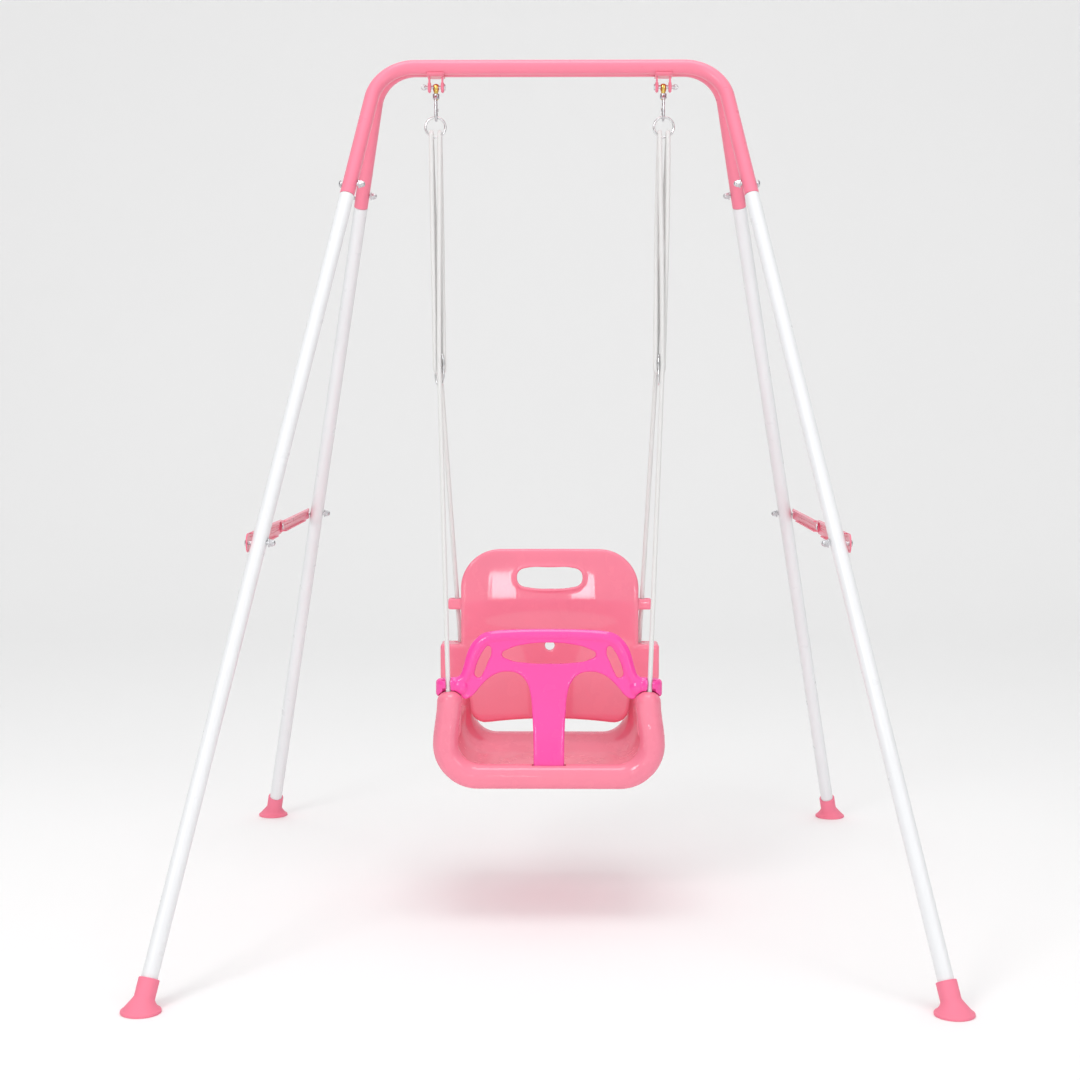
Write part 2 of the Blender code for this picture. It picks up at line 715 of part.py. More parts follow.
# The brass eye is a pear with a riveted stem, and the snap hook swivels on that stem.
for side_name, side in SIDES:
    pear = [
        (0.0, 0.0),
        (0.0, 0.0030),
        (0.0012, 0.0034),
        (0.0012, 0.0020),
        (0.0100, 0.0020),
        (0.0100, 0.0036),
        (0.0150, 0.0056),
        (0.0190, EYE_BALL_R),
        (0.0225, 0.0056),
        (0.0250, 0.0034),
        (0.0258, 0.0),
    ]
    foot = Vector((side * HANGER_X, 0.0, PIN_Z + EYE_BALL_R - 0.0258))
    eye = turned(f"{side_name}_swivel_eye", pear, foot, (0.0, 0.0, 1.0), "brass", 12,
                 origin=SWING_HINGE)
    combine(eye, rod(pin_point(side, -0.01), pin_point(side, 0.01), PIN_R + GAP, 12), "DIFFERENCE")
    collar_low = foot.z + 0.0012 + GAP
    collar_high = foot.z + 0.0100 - GAP
    collar = [
        (collar_low, 0.0023),
        (collar_low, 0.0046),
        (collar_low + 0.001, 0.0052),
        (collar_high - 0.001, 0.0052),
        (collar_high, 0.0044),
        (collar_high, 0.0023),
    ]
    hook = turned(f"{side_name}_snap_hook", collar, (side * HANGER_X, 0.0, 0.0), (0.0, 0.0, 1.0),
                  "zinc", 12, closed=True, origin=SWING_HINGE)
    wire = HOOK_X
    centre_z = HOOK_BOTTOM + HOOK_HALF
    path = [(-0.0038, (collar_low + collar_high) / 2), (-0.0068, collar_low + 0.0006),
            (-HOOK_HALF, collar_low - 0.0030), (-HOOK_HALF, centre_z + 0.004)]
    for i in range(9):
        turn = math.pi + math.pi * i / 8
        path.append((HOOK_HALF * math.cos(turn), centre_z + (HOOK_HALF - wire) * math.sin(turn)))
    path.append((HOOK_HALF, centre_z + 0.006))
    body = tube([Vector((side * HANGER_X, y, z)) for y, z in path], wire, 8)
    combine(hook, body, "UNION")
    lug = box((side * HANGER_X - wire, 0.0036, collar_low + 0.0020),
              (side * HANGER_X + wire, 0.0064, collar_high - 0.0004))
    combine(hook, lug, "UNION")
    nose_z = centre_z + 0.006 + GAP
    gate_pivot = (side * HANGER_X, HOOK_HALF, collar_low + 0.0022)
    gate_path = [Vector((side * HANGER_X, HOOK_HALF, z)) for z in (nose_z + 0.0003, gate_pivot[2])]
    gate = add(f"{side_name}_gate", tube(gate_path, 0.0017, 10), "zinc", gate_pivot)
    knob = rod((side * HANGER_X - 0.0030, HOOK_HALF, nose_z + 0.0035),
               (side * HANGER_X + 0.0030, HOOK_HALF, nose_z + 0.0035), 0.0027, 12)
    combine(gate, knob, "UNION")

    turns = [2 * math.pi * i / 20 for i in range(20)]
    loop = [Vector((side * RING_X + RING_R * math.cos(t), 0.0, RING_Z + RING_R * math.sin(t)))
            for t in turns]
    add(f"{side_name}_ring", tube(loop, RING_WIRE, 6, cyclic=True), "zinc", SWING_HINGE)


# Ropes and adjusters

def strand(side_name, side, z, u, v):
    """Centre of one of the four strands above an adjuster. They twist with the adjuster's turn."""
    top = RING_Z - RING_R * 0.9
    t = min(max((top - z) / (top - ADJUSTER_Z), 0.0), 1.0)
    turn = ADJUSTER_TURN[side_name] * t * side
    across = blend([(0.0, 0.0064), (1.0, 0.0041)], t) * u
    ahead = blend([(0.0, ROPE_OVER_RING), (1.0, 0.0056)], t) * v
    middle = side * (RING_X + (ADJUSTER_X - RING_X) * t)
    return Vector((middle + across * math.cos(turn) - ahead * math.sin(turn),
                   across * math.sin(turn) + ahead * math.cos(turn), z))


def rope_route(side_name, side):
    """Front knot, up to the ring and over, round the adjuster's bar, over again, down to the rear."""
    top = RING_Z - RING_R * 0.9
    bend = ROPE_OVER_RING
    levels = [ADJUSTER_Z + 0.003 + (top - 0.002 - ADJUSTER_Z - 0.003) * i / 6 for i in range(7)]

    def over_ring(u):
        made = []
        for i in range(1, 6):
            turn = math.pi * i / 6
            point = strand(side_name, side, top, u, 0.0)
            made.append(point + Vector((0.0, -bend * math.cos(turn), bend * math.sin(turn))))
        return made

    front = Vector((side * FRONT_HOLE.x, FRONT_HOLE.y, 0.0))
    rear = Vector((side * REAR_HOLE.x, REAR_HOLE.y, 0.0))
    points = [front + Vector((0, 0, FRONT_POCKET_TOP - KNOT_R - 0.004)), front + Vector((0, 0, 0.3385))]
    points.append(Vector((front.x, front.y + 0.0006, FRONT_HOLE.z)))
    points += [strand(side_name, side, z, -side, -1.0) for z in levels]
    points += over_ring(-side)
    points += [strand(side_name, side, z, -side, 1.0) for z in levels[::-1]]
    for i in range(1, 6):
        turn = math.pi * i / 6
        low = strand(side_name, side, ADJUSTER_Z + 0.001, -side * math.cos(turn), math.cos(turn))
        points.append(low + Vector((0.0, 0.0, -0.0060 * math.sin(turn))))
    points += [strand(side_name, side, z, side, -1.0) for z in levels]
    points += over_ring(side)
    points += [strand(side_name, side, z, side, 1.0) for z in levels[::-1]]
    points.append(Vector((rear.x, rear.y - 0.0006, REAR_HOLE.z)))
    points += [rear + Vector((0, 0, 0.370)), rear + Vector((0, 0, REAR_POCKET_TOP - KNOT_R - 0.004))]
    return points


for side_name, side in SIDES:
    route = rope_route(side_name, side)
    rope = add(f"{side_name}_rope", tube(route, ROPE_R, 8), "rope", SWING_HINGE)
    knots = joined([ball(route[0], KNOT_R), ball(route[-1], KNOT_R)])
    combine(rope, knots, "UNION")

    turn = ADJUSTER_TURN[side_name] * side
    facing = Matrix.Translation((side * ADJUSTER_X, 0.0, ADJUSTER_Z)) @ Matrix.Rotation(turn, 4, "Z")
    loop = []
    steps = 30
    for i in range(steps):
        t = 2 * math.pi * i / steps
        z = ADJUSTER_LOOP * math.sin(t)
        waist = 1 - ADJUSTER_WAIST * math.exp(-((z / 0.006) ** 2))
        x = ADJUSTER_HALF_W * math.copysign(abs(math.cos(t)) ** 0.6, math.cos(t)) * waist
        loop.append(facing @ Vector((x, 0.0, z)))
    adjuster = add(f"{side_name}_adjuster", tube(loop, ADJUSTER_WIRE, 6, cyclic=True), "zinc",
                   SWING_HINGE)
    reach = ADJUSTER_HALF_W * (1 - ADJUSTER_WAIST)
    ends = [facing @ Vector((way * reach, 0.0, 0.0)) for way in (-1, 1)]
    combine(adjuster, rod(*ends, ADJUSTER_WIRE * 0.95, 6), "UNION")


# Seat base: a double-walled tub whose rolled front edge rises into two posts

def corner(middle_x, middle_z, radius_x, radius_z, first, last, steps):
    made = []
    for i in range(steps + 1):
        turn = first + (last - first) * i / steps
        made.append((middle_x + radius_x * math.cos(turn), middle_z + radius_z * math.sin(turn)))
    return made


def tub_section(y, inset):
    """One closed section of the tub at y, drawn in by inset towards the middle of its wall."""
    top = flow([(-0.131, POST_TOP), (-0.119, POST_TOP - 0.002), (-0.1128, 0.339), (-0.1110, 0.303),
                (-0.095, 0.296), (0.0, SIDE_RIM), (0.080, 0.294), (0.097, 0.302), (0.1040, 0.356),
                (0.108, 0.374), (0.116, 0.379), (0.122, REAR_POST_TOP), (0.134, 0.377),
                (0.140, 0.368)], y) - inset * 0.8
    half_out = flow([(0.0, BASE_HALF), (0.100, 0.1735), (0.140, 0.1700)], y) - inset
    bottom = flow([(0.0, BASE_BOTTOM), (0.060, 0.2020), (0.095, 0.2090), (0.125, 0.2230),
                   (0.140, 0.2310)], y) + inset
    round_out = flow([(0.0, 0.068), (0.140, 0.060)], y) - inset
    half_in = flow([(-0.131, 0.1365), (-0.113, 0.1385), (-0.090, 0.1445), (0.0, 0.1480),
                    (0.060, 0.1450), (0.095, 0.1370), (0.1040, 0.1270), (0.115, 0.1245)], y) + inset
    floor = flow([(-0.131, RAIL_TOP), (-0.120, 0.2350), (-0.100, 0.2220), (-0.070, 0.2155),
                  (0.0, 0.2145), (0.060, 0.2165), (0.100, 0.2290), (0.125, 0.2385),
                  (0.135, REAR_RIM)], y) - inset
    round_in = flow([(-0.131, 0.034), (-0.080, 0.044), (0.060, 0.046), (0.110, 0.038)], y) + inset * 0.6
    lean_out = flow([(-0.131, 0.0065), (-0.112, 0.0065), (-0.100, 0.0020), (0.090, 0.0020),
                     (0.1040, 0.0100), (0.125, 0.0080)], y)
    lean_in = flow([(-0.131, 0.0065), (-0.112, 0.0060), (-0.100, 0.0010), (0.090, 0.0010),
                    (0.1040, -0.0020), (0.125, -0.0020)], y)
    wall = half_out - lean_out - (half_in - lean_in)
    dome = min(wall * 0.46, 0.016)
    quarter = math.pi / 2
    steps = 6
    out = [(0.0, bottom), ((half_out - round_out) * 0.5, bottom)]
    out += corner(half_out - round_out, bottom + round_out, round_out, round_out, -quarter, 0.0, steps)
    shoulder = top - dome
    out.append((half_out, bottom + round_out + (shoulder - bottom - round_out) * 0.25))
    middle = (half_out - lean_out + half_in - lean_in) / 2
    out += corner(middle, shoulder, wall / 2, dome, 0.0, 2 * quarter, 6)
    out.append((half_in, (floor + round_in + shoulder) / 2 - 0.004))
    inner = corner(half_in - round_in, floor + round_in, round_in, round_in, -quarter, 0.0, steps)
    out += inner[::-1]
    out += [((half_in - round_in) * 0.5, floor), (0.0, floor)]
    right = [Vector((x, y, z)) for x, z in out]
    left = [Vector((-x, y, z)) for x, z in out[1:-1]]
    return right + left[::-1]


def make_base():
    rings = []
    for degrees in (66, 48, 30, 14):
        turn = math.radians(degrees)
        rings.append(tub_section(RAIL_Y - RAIL_R * math.sin(turn), RAIL_R * 0.92 * (1 - math.cos(turn))))
    for ring in rings:
        for point in ring:
            point.y = max(point.y, RAIL_Y - RAIL_R)
    for y in (-0.131, -0.121, -0.1128, -0.1110, -0.103, -0.092, -0.065, -0.025, 0.020, 0.060, 0.085,
              0.097, 0.101, 0.1040, 0.108, 0.116, 0.125, 0.134, 0.140):
        rings.append(tub_section(y, 0.0))
    rings.append(tub_section(0.1418, 0.0010))
    rings.append(tub_section(0.1426, 0.0026))
    base = add("seat_base", loft(rings), "moulded", SWING_HINGE)
    bores = []
    for _, side in SIDES:
        front = Vector((side * FRONT_HOLE.x, FRONT_HOLE.y, 0.0))
        rear = Vector((side * REAR_HOLE.x, REAR_HOLE.y, 0.0))
        for centre, pocket_top in ((front, FRONT_POCKET_TOP), (rear, REAR_POCKET_TOP)):
            up = Vector((0.0, 0.0, 1.0))
            bores.append(rod(centre + up * 0.190, centre + up * pocket_top, KNOT_POCKET_R, 16))
            bores.append(rod(centre + up * (pocket_top - 0.001), centre + up * 0.40, ROPE_BORE_R, 12))
    for bore in bores:
        combine(base, bore, "DIFFERENCE")
    slot = box((-STEM_HALF - 0.0025, GUARD_Y - 0.0070, GUARD_FOOT - 0.0015),
               (STEM_HALF + 0.0025, GUARD_Y + 0.0105, 0.260))
    combine(base, slot, "DIFFERENCE")
    return base


make_base()


# Guard

def mirrored_outline(half):
    """A closed outline from points on the +X side, listed from the top middle to the bottom middle."""
    return half + [(-point[0], *point[1:]) for point in reversed(half) if point[0] > 0]


def tilted(y, z, tilt):
    """Matrix that stands a flat outline up, so that its y runs up the guard's leaning plane."""
    return Matrix.Translation((0.0, y, z)) @ Matrix.Rotation(math.pi / 2 - tilt, 4, "X")


def rope_notch(side, hole, range_x, clear, low, high, mouth=0.0, ahead=0.0):
    """Cutters for an oval hole along a slanting rope. With a mouth it also opens to the front."""
    count = 8
    ovals = []
    throats = []
    for z in (low, high):
        near = rope_at(side, hole, z)
        outline = []
        for x, base in ((near.x + side * range_x, -math.pi / 2), (near.x, math.pi / 2)):
            for i in range(count + 1):
                turn = base + math.pi * i / count
                outline.append((x + side * clear * math.cos(turn), near.y + clear * math.sin(turn)))
        ovals.append([Vector((x, y, z)) for x, y in outline])
        throat = ((-1, -ahead), (1, -ahead), (1, 0.0), (-1, 0.0))
        throats.append([Vector((near.x + way * mouth / 2, near.y + y, z)) for way, y in throat])
    return [loft(ovals)] + ([loft(throats)] if mouth else [])


def rope_at(side, hole, z):
    """Where the straight run of a rope above its hole passes the height z."""
    end = -1.0 if hole.y < 0 else 1.0
    top = Vector((side * ADJUSTER_X, end * 0.005, ADJUSTER_Z))
    start = Vector((side * hole.x, hole.y, hole.z))
    return start.lerp(top, (z - start.z) / (top.z - start.z))


def make_guard():
    body = [
        (0.0, GUARD_TOP), (0.055, GUARD_TOP - 0.001), (0.083, GUARD_TOP - 0.003),
        (0.0995, 0.4335), (0.1100, 0.4255), (0.1190, 0.4135), (0.1245, 0.3995), (0.1290, 0.3830),
        (0.1350, 0.3700), (0.1500, 0.3655), (0.1500, 0.3430, 1), (0.1340, 0.3390), (0.1260, 0.3355),
        (0.1170, 0.3390), (0.1045, 0.3525), (0.0935, 0.3640), (0.0790, 0.3733), (0.0615, 0.3765),
        (0.0440, 0.3720), (0.0335, 0.3600), (0.0280, 0.3430), (0.0252, 0.3150), (0.0234, 0.2780),
        (STEM_HALF, STEM_LEVEL, 1),
        (STEM_HALF, GUARD_FOOT, 1),
    ]
    rise = 1.0 / math.cos(GUARD_TILT)
    stand = tilted(GUARD_Y, STEM_LEVEL, GUARD_TILT)

    def flat(points):
        return [(p[0], (p[1] - STEM_LEVEL) * rise, *p[2:]) for p in points]

    lens = [(0.0, 0.4200), (0.0365, 0.4172), (0.0590, 0.4110), (0.0705, 0.4022), (0.0603, 0.3944),
            (0.0340, 0.3896), (0.0, 0.3884)]
    window = [(0.0905, 0.4150), (0.0983, 0.4081), (0.1050, 0.3960), (0.1105, 0.3810), (0.1110, 0.3705),
              (0.1050, 0.3675), (0.0984, 0.3763), (0.0920, 0.3910), (0.0868, 0.4050)]
    outlines = [flat(mirrored_outline(body)), flat(mirrored_outline(lens))]
    for _, side in SIDES:
        outlines.append(flat([(side * x, z) for x, z in window]))
    web = plate(outlines, GUARD_HALF_T, 0.0022, stand, 2, 1)
    guard = add("guard", web, "guard", (0.0, GUARD_Y, GUARD_FOOT))
    hoop = [(0.0, 0.4318), (0.030, 0.4316), (0.056, 0.4306), (0.078, 0.4290), (0.0905, 0.4263),
            (0.1010, 0.4205), (0.1085, 0.4115), (0.1140, 0.4003), (0.1180, 0.3875), (0.1215, 0.3760),
            (0.1265, 0.3665), (0.1350, 0.3605), (0.1450, 0.3580)]
    points = [(-x, z) for x, z in hoop[:0:-1]] + hoop
    lean = math.tan(GUARD_TILT)
    rail = [Vector((x, GUARD_Y + (z - STEM_LEVEL) * lean, z)) for x, z in points]
    combine(guard, tube(rail, GUARD_TUBE_R, 8), "UNION")
    for _, side in SIDES:
        foot = Vector((side * FRONT_HOLE.x, CAP_Y, CAP_BOTTOM))
        cap = rod(foot, (foot.x, foot.y, CAP_TOP), CAP_R, 16)
        build = bmesh.new()
        build.from_mesh(cap)
        rim = [e for e in build.edges if all(v.co.z > CAP_TOP - 0.0001 for v in e.verts)]
        bmesh.ops.bevel(build, geom=rim, offset=0.004, segments=2, profile=0.5, affect="EDGES")
        build.to_mesh(cap)
        build.free()
        combine(guard, cap, "UNION")
    for _, side in SIDES:
        xs = sorted((side * 0.1290, side * 0.1720))
        combine(guard, box((xs[0], -0.160, 0.200), (xs[1], -0.1106, POST_TOP + 0.0007)), "DIFFERENCE")
        for cutter in rope_notch(side, FRONT_HOLE, 0.0041, 0.0046, 0.330, 0.380, 0.0066, 0.015):
            combine(guard, cutter, "DIFFERENCE")
    return guard


make_guard()


# Backrest

def back_half(z):
    """Half-width of the panel at the height z."""
    low_corner = 0.026
    if z < BACK_BOTTOM + low_corner:
        t = (BACK_BOTTOM + low_corner - z) / low_corner
        return 0.104 + 0.0245 * math.sqrt(max(1 - t * t, 0.0))
    if z > BACK_TOP - BACK_CORNER:
        t = (z - BACK_TOP + BACK_CORNER) / BACK_CORNER
        return BACK_HALF - BACK_CORNER + BACK_CORNER * math.sqrt(max(1 - t * t, 0.0))
    return blend([(0.288, 0.1285), (0.330, 0.1345), (0.395, BACK_HALF)], z)


def back_face(x, z):
    """How far the panel's middle surface lies towards the front of its plane."""
    return BACK_Y - BACK_WRAP * (abs(x) / BACK_HALF) ** 2


def bottom_arch(x, z):
    """How far the lower edge is raised. It fades out up the panel and towards its corners."""
    across = max(1.0 - (x / BACK_ARCH_HALF) ** 2, 0.0)
    upward = max(1.0 - (z - BACK_BOTTOM) / 0.060, 0.0)
    return BACK_ARCH * across * upward


def back_panel():
    """A curved panel with a fully round rim: a grid on each face and rings round the edge."""
    quarter = math.pi / 2
    levels = [BACK_BOTTOM + 0.026 * (1 - math.cos(quarter * i / 4)) for i in range(5)]
    levels += [0.312, 0.353, 0.395, 0.437]
    levels += [BACK_TOP - BACK_CORNER + BACK_CORNER * math.sin(quarter * i / 6) for i in range(7)]
    columns = 8
    rows = len(levels)
    edge = BACK_T / 2
    rim = [(back_half(levels[0]) * (2 * j / columns - 1), levels[0]) for j in range(columns)]
    rim += [(back_half(z), z) for z in levels[:-1]]
    rim += [(back_half(levels[-1]) * (1 - 2 * j / columns), levels[-1]) for j in range(columns)]
    rim += [(-back_half(z), z) for z in levels[:0:-1]]

    def inset_rim(depth):
        made = []
        count = len(rim)
        for i, (x, z) in enumerate(rim):
            ax, az = rim[i - 1]
            bx, bz = rim[(i + 1) % count]
            tx, tz = bx - ax, bz - az
            size = math.hypot(tx, tz)
            made.append((x - tz / size * depth, z + tx / size * depth))
        return made

    build = bmesh.new()

    def ring_verts(depth, ahead):
        return [build.verts.new((x, back_face(x, z) + ahead, z)) for x, z in inset_rim(depth)]

    angles = [quarter, quarter * 0.5, 0.0, -quarter * 0.5, -quarter]
    rings = [ring_verts(edge * (1 - math.cos(a)), -edge * math.sin(a)) for a in angles]
    for ring, after in zip(rings, rings[1:]):
        for i in range(len(ring)):
            j = (i + 1) % len(ring)
            build.faces.new((ring[i], ring[j], after[j], after[i]))
    for ring, ahead in ((rings[0], -edge), (rings[-1], edge)):
        grid = []
        for i in range(rows):
            right = ring[columns + i]
            left = ring[-i] if i else ring[0]
            if i == 0:
                grid.append(ring[:columns + 1])
                continue
            if i == rows - 1:
                grid.append(ring[columns + rows - 1:2 * columns + rows][::-1])
                continue
            row = [left]
            for j in range(1, columns):
                x = left.co.x + (right.co.x - left.co.x) * j / columns
                z = left.co.z
                row.append(build.verts.new((x, back_face(x, z) + ahead, z)))
            grid.append(row + [right])
        for row, after in zip(grid, grid[1:]):
            for j in range(columns):
                build.faces.new((row[j], row[j + 1], after[j + 1], after[j]))
    for vert in build.verts:
        vert.co.z += bottom_arch(vert.co.x, vert.co.z)
    bmesh.ops.recalc_face_normals(build, faces=build.faces[:])
    made = bpy.data.meshes.new("panel")
    build.to_mesh(made)
    build.free()
    return made


def make_backrest():
    back = add("backrest", back_panel(), "moulded", (0.0, BACK_Y, BACK_BOTTOM))
    for _, side in SIDES:
        xs = sorted((side * 0.1290, side * 0.1762))
        combine(back, box((xs[0], 0.0830, 0.3330), (xs[1], 0.1360, 0.3900), 0.0040, 1), "UNION")
        xs = sorted((side * 0.1360, side * 0.1636))
        combine(back, box((xs[0], 0.0880, 0.4460), (xs[1], 0.1115, 0.4630), 0.0020, 1), "UNION")
    stand = Matrix.Translation((0.0, BACK_Y, HANDLE_Z)) @ Matrix.Rotation(math.pi / 2, 4, "X")
    handle = [(0.0, 0.0178), (0.036, 0.0172), (0.0490, 0.0120), (0.0527, 0.0), (0.0480, -0.0105),
              (0.034, -0.0150), (0.0, -0.0172)]
    lip_line = [stand @ Vector((x, y, 0.0)) for x, y in lip_points(mirrored_outline(handle))]
    for point in lip_line:
        point.y = back_face(point.x, point.z) - BACK_T / 2 + 0.0006
    combine(back, tube(lip_line, LIP_R, 6, cyclic=True), "UNION")
    combine(back, plate([mirrored_outline(handle)], 0.030, 0.0, stand, 2, 0), "DIFFERENCE")
    for _, side in SIDES:
        xs = sorted((side * 0.1200, side * 0.1700))
        combine(back, box((xs[0], 0.0975, 0.300), (xs[1], 0.160, REAR_POST_TOP + 2 * GAP)), "DIFFERENCE")
        for low, high in ((0.375, 0.400), (0.440, 0.470)):
            for cutter in rope_notch(side, REAR_HOLE, 0.0056, 0.0048, low, high):
                combine(back, cutter, "DIFFERENCE")
    holes = [rod((0.0, 0.060, BACK_HOLE_Z), (0.0, 0.130, BACK_HOLE_Z), BACK_HOLE_R, 20)]
    for _, side in SIDES:
        slot_x = side * BELT_SLOT_X
        holes.append(box((slot_x - BELT_SLOT_HALF, 0.060, BELT_SLOT_LOW),
                         (slot_x + BELT_SLOT_HALF, 0.130, BELT_SLOT_HIGH)))
    combine(back, joined(holes), "DIFFERENCE")
    return back


def lip_points(outline, steps=2, outward=LIP_R):
    """Points just outside a closed smooth outline, read along its own bends."""
    count = len(outline)
    dense = []
    for i in range(count):
        p0, p1, p2, p3 = (Vector(outline[(i + k) % count][:2]) for k in (-1, 0, 1, 2))
        for j in range(steps):
            t = j / steps
            dense.append(0.5 * (2 * p1 + (p2 - p0) * t + (2 * p0 - 5 * p1 + 4 * p2 - p3) * t * t
                                + (3 * p1 - p0 - 3 * p2 + p3) * t * t * t))
    made = []
    for i, point in enumerate(dense):
        along = dense[(i + 1) % len(dense)] - dense[i - 1]
        normal = Vector((along.y, -along.x)).normalized()
        if normal.dot(point) < 0:
            normal = -normal
        made.append(point + normal * outward)
    return made


make_backrest()
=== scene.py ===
"""Looks of the folding baby swing set: coated tubes, moulded seat, braided ropes and small hardware."""
import math

import bmesh
import bpy
from mathutils import Matrix, Vector


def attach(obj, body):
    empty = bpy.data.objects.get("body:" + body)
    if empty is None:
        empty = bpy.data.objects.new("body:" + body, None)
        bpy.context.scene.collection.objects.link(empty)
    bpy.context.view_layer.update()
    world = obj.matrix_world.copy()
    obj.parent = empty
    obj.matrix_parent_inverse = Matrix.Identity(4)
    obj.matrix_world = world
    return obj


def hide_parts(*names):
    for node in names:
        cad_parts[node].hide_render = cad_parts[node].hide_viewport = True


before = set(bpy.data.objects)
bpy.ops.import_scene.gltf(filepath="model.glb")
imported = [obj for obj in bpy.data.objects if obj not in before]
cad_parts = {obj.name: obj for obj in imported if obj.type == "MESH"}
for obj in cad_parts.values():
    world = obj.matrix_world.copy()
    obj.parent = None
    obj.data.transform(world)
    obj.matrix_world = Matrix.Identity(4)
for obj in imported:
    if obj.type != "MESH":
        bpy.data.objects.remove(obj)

for startup in ("Cube", "Camera", "Light"):
    if startup in bpy.data.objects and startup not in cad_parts:
        bpy.data.objects.remove(bpy.data.objects[startup], do_unlink=True)
bpy.context.view_layer.update()

# Sizes in metres
HEIGHT = 1.300
GAP = 0.0003
DRILL_REACH = 0.02

# Frame tubes. Places along a leg are measured from the bar.
TUBE_R = 0.011
BORE_R = 0.0098
BAR_HALF_SPACING = 0.0125
BAR_Z = HEIGHT - TUBE_R
LEAN = math.radians(23.6)
TOP_HALF = 0.205
BEND_R = 0.066
SPLAY = math.atan(0.187)
ARM_END = 0.219
SPLICE_BOLT = 0.201
BRACE_BOLT = 0.767
LEG_FOOT = BAR_Z / math.cos(LEAN)
TIP_R = 0.0091
TIP_BORE_R = 0.0079
TIP_LENGTH = 0.045
BOLT_HOLE_R = 0.0034
BOLT_MARGIN = 0.0055

# Feet
FOOT_R = 0.0265
FOOT_MIDDLE_R = 0.006
FOOT_SOLE_EDGE = 0.0012
FOOT_LIP = 0.0046
FOOT_LIP_EDGE = 0.0022
FOOT_SLEEVE_R = 0.0138
FOOT_SLEEVE_TOP = 0.044
FOOT_FLARE_TOP = 0.019
FOOT_FLARE_POWER = 1.2
FOOT_SEAT = 0.012

# Bolts, washers and acorn nuts
SHANK_R = 0.0029
HEAD_R = 0.0058
HEAD_T = 0.0036
SOCKET_R = 0.0019
WASHER_R = 0.0064
WASHER_T = 0.0014
HEX_R = 0.0056
HEX_T = 0.0045
DOME_R = 0.0043
DOME_T = 0.0042
DOME_STEP = 0.0006
TUBE_CLEAR = 0.0130
NUT_REACH = TUBE_CLEAR + WASHER_T + HEX_T

# Side braces. A groove is (level at its start, level at its end), from -1 to 1 across the link.
# A flange is (gap after the link's start, gap before its end, edge it stands on).
LINK_T = 0.0014
LINK_HOLE_R = 0.0033
FRONT_WEB = 0.0154
REAR_WEB = 0.0137
FRONT_LINK_H = (0.0265, 0.0215)
REAR_LINK_H = (0.0170, 0.0170)
FLANGE_W = 0.0059
FLANGE_LEVEL = 0.99
GROOVE_R = 0.0009
GROOVE_FROM = 0.014
FRONT_GROOVES = ((0.62, 0.30), (0.12, 0.04), (-0.40, -0.24))
REAR_GROOVES = ((0.1, 0.1),)
FRONT_FLANGES = ((0.020, 0.006, 1.0), (0.020, 0.056, -1.0))
REAR_FLANGES = ((0.014, 0.030, 1.0), (0.014, 0.072, -1.0))

# Hangers
HANGER_X = 0.174
SADDLE_HALF = 0.013
SADDLE_LIP = math.radians(44)
SADDLE_BACK = math.radians(25)
SHEET = 0.0025
EAR_X = 0.010
EAR_HALF = 0.0085
BOSS_T = 0.0046
BOSS_R = EAR_HALF - 0.0012
PIN_Z = 1.2606
PIN_R = 0.0028
PIN_HOLE_R = 0.0016
PIN_SHANK = EAR_X + SHEET / 2 + GAP
PIN_RING_R = 0.0038
PIN_RING_WIRE = 0.0007
EYE_BALL_R = 0.0064
EYE_R = 0.0049
EYE_LENGTH = 0.0258
EYE_FLANGE_T = 0.0012
EYE_NECK_TOP = 0.0100
EYE_NECK_R = 0.0020
EYE_FOOT = PIN_Z + EYE_BALL_R - EYE_LENGTH
COLLAR_LOW = EYE_FOOT + EYE_FLANGE_T + GAP
COLLAR_HIGH = EYE_FOOT + EYE_NECK_TOP - GAP
HOOK_X = 0.0021
HOOK_HALF = 0.0085
HOOK_BOTTOM = 1.2088
HOOK_CENTRE = HOOK_BOTTOM + HOOK_HALF
HOOK_NOSE = 0.006
GATE_R = 0.0017
RING_X = 0.175
RING_R = 0.0152
RING_WIRE = 0.0018
RING_Z = HOOK_BOTTOM + 2 * HOOK_X + 0.0005 + RING_WIRE - RING_R

# Ropes and their adjusters
ROPE_R = 0.0036
ROPE_OVER_RING = 0.0065
ROPE_OVER_BAR = 0.0056
ROPE_UNDER_BAR = 0.0060
ROPE_APART_AT_RING = 0.0064
ROPE_APART_AT_BAR = 0.0041
STRAND_TOP = RING_Z - RING_R * 0.9
ADJUSTER_X = 0.170
ADJUSTER_Z = 0.830
ADJUSTER_WIRE = 0.0015
ADJUSTER_HALF_W = 0.0095
ADJUSTER_LOOP = 0.0235
ADJUSTER_WAIST = 0.25
ADJUSTER_WAIST_H = 0.006
ADJUSTER_TURN = {"left": math.radians(40), "right": math.radians(78)}
FRONT_HOLE = Vector((0.151, -0.131, 0.3460))
REAR_HOLE = Vector((0.145, 0.122, 0.3790))
FRONT_BORE_TOP = 0.3385
REAR_BORE_TOP = 0.370
ROPE_BORE_R = 0.0055
KNOT_R = 0.0085
KNOT_LOOP_R = KNOT_R - 0.0034
KNOT_STRAND_R = 0.0026
KNOT_DROP = KNOT_R + 0.004
KNOT_POCKET_R = 0.0110
KNOT_POCKET_DEEP = 0.0092
KNOT_POCKET_BACK = 0.0018
FRONT_POCKET_TOP = 0.2510
REAR_POCKET_TOP = 0.2620

# Seat base
BASE_BOTTOM = 0.200
BASE_HALF = 0.1745
RAIL_Y = -0.131
RAIL_R = 0.019
RAIL_TOP = 0.2375
POST_TOP = 0.3485
SIDE_RIM = 0.291
REAR_RIM = 0.239
REAR_POST_TOP = 0.380
REAR_END = 0.139
REAR_EDGE = 0.0036

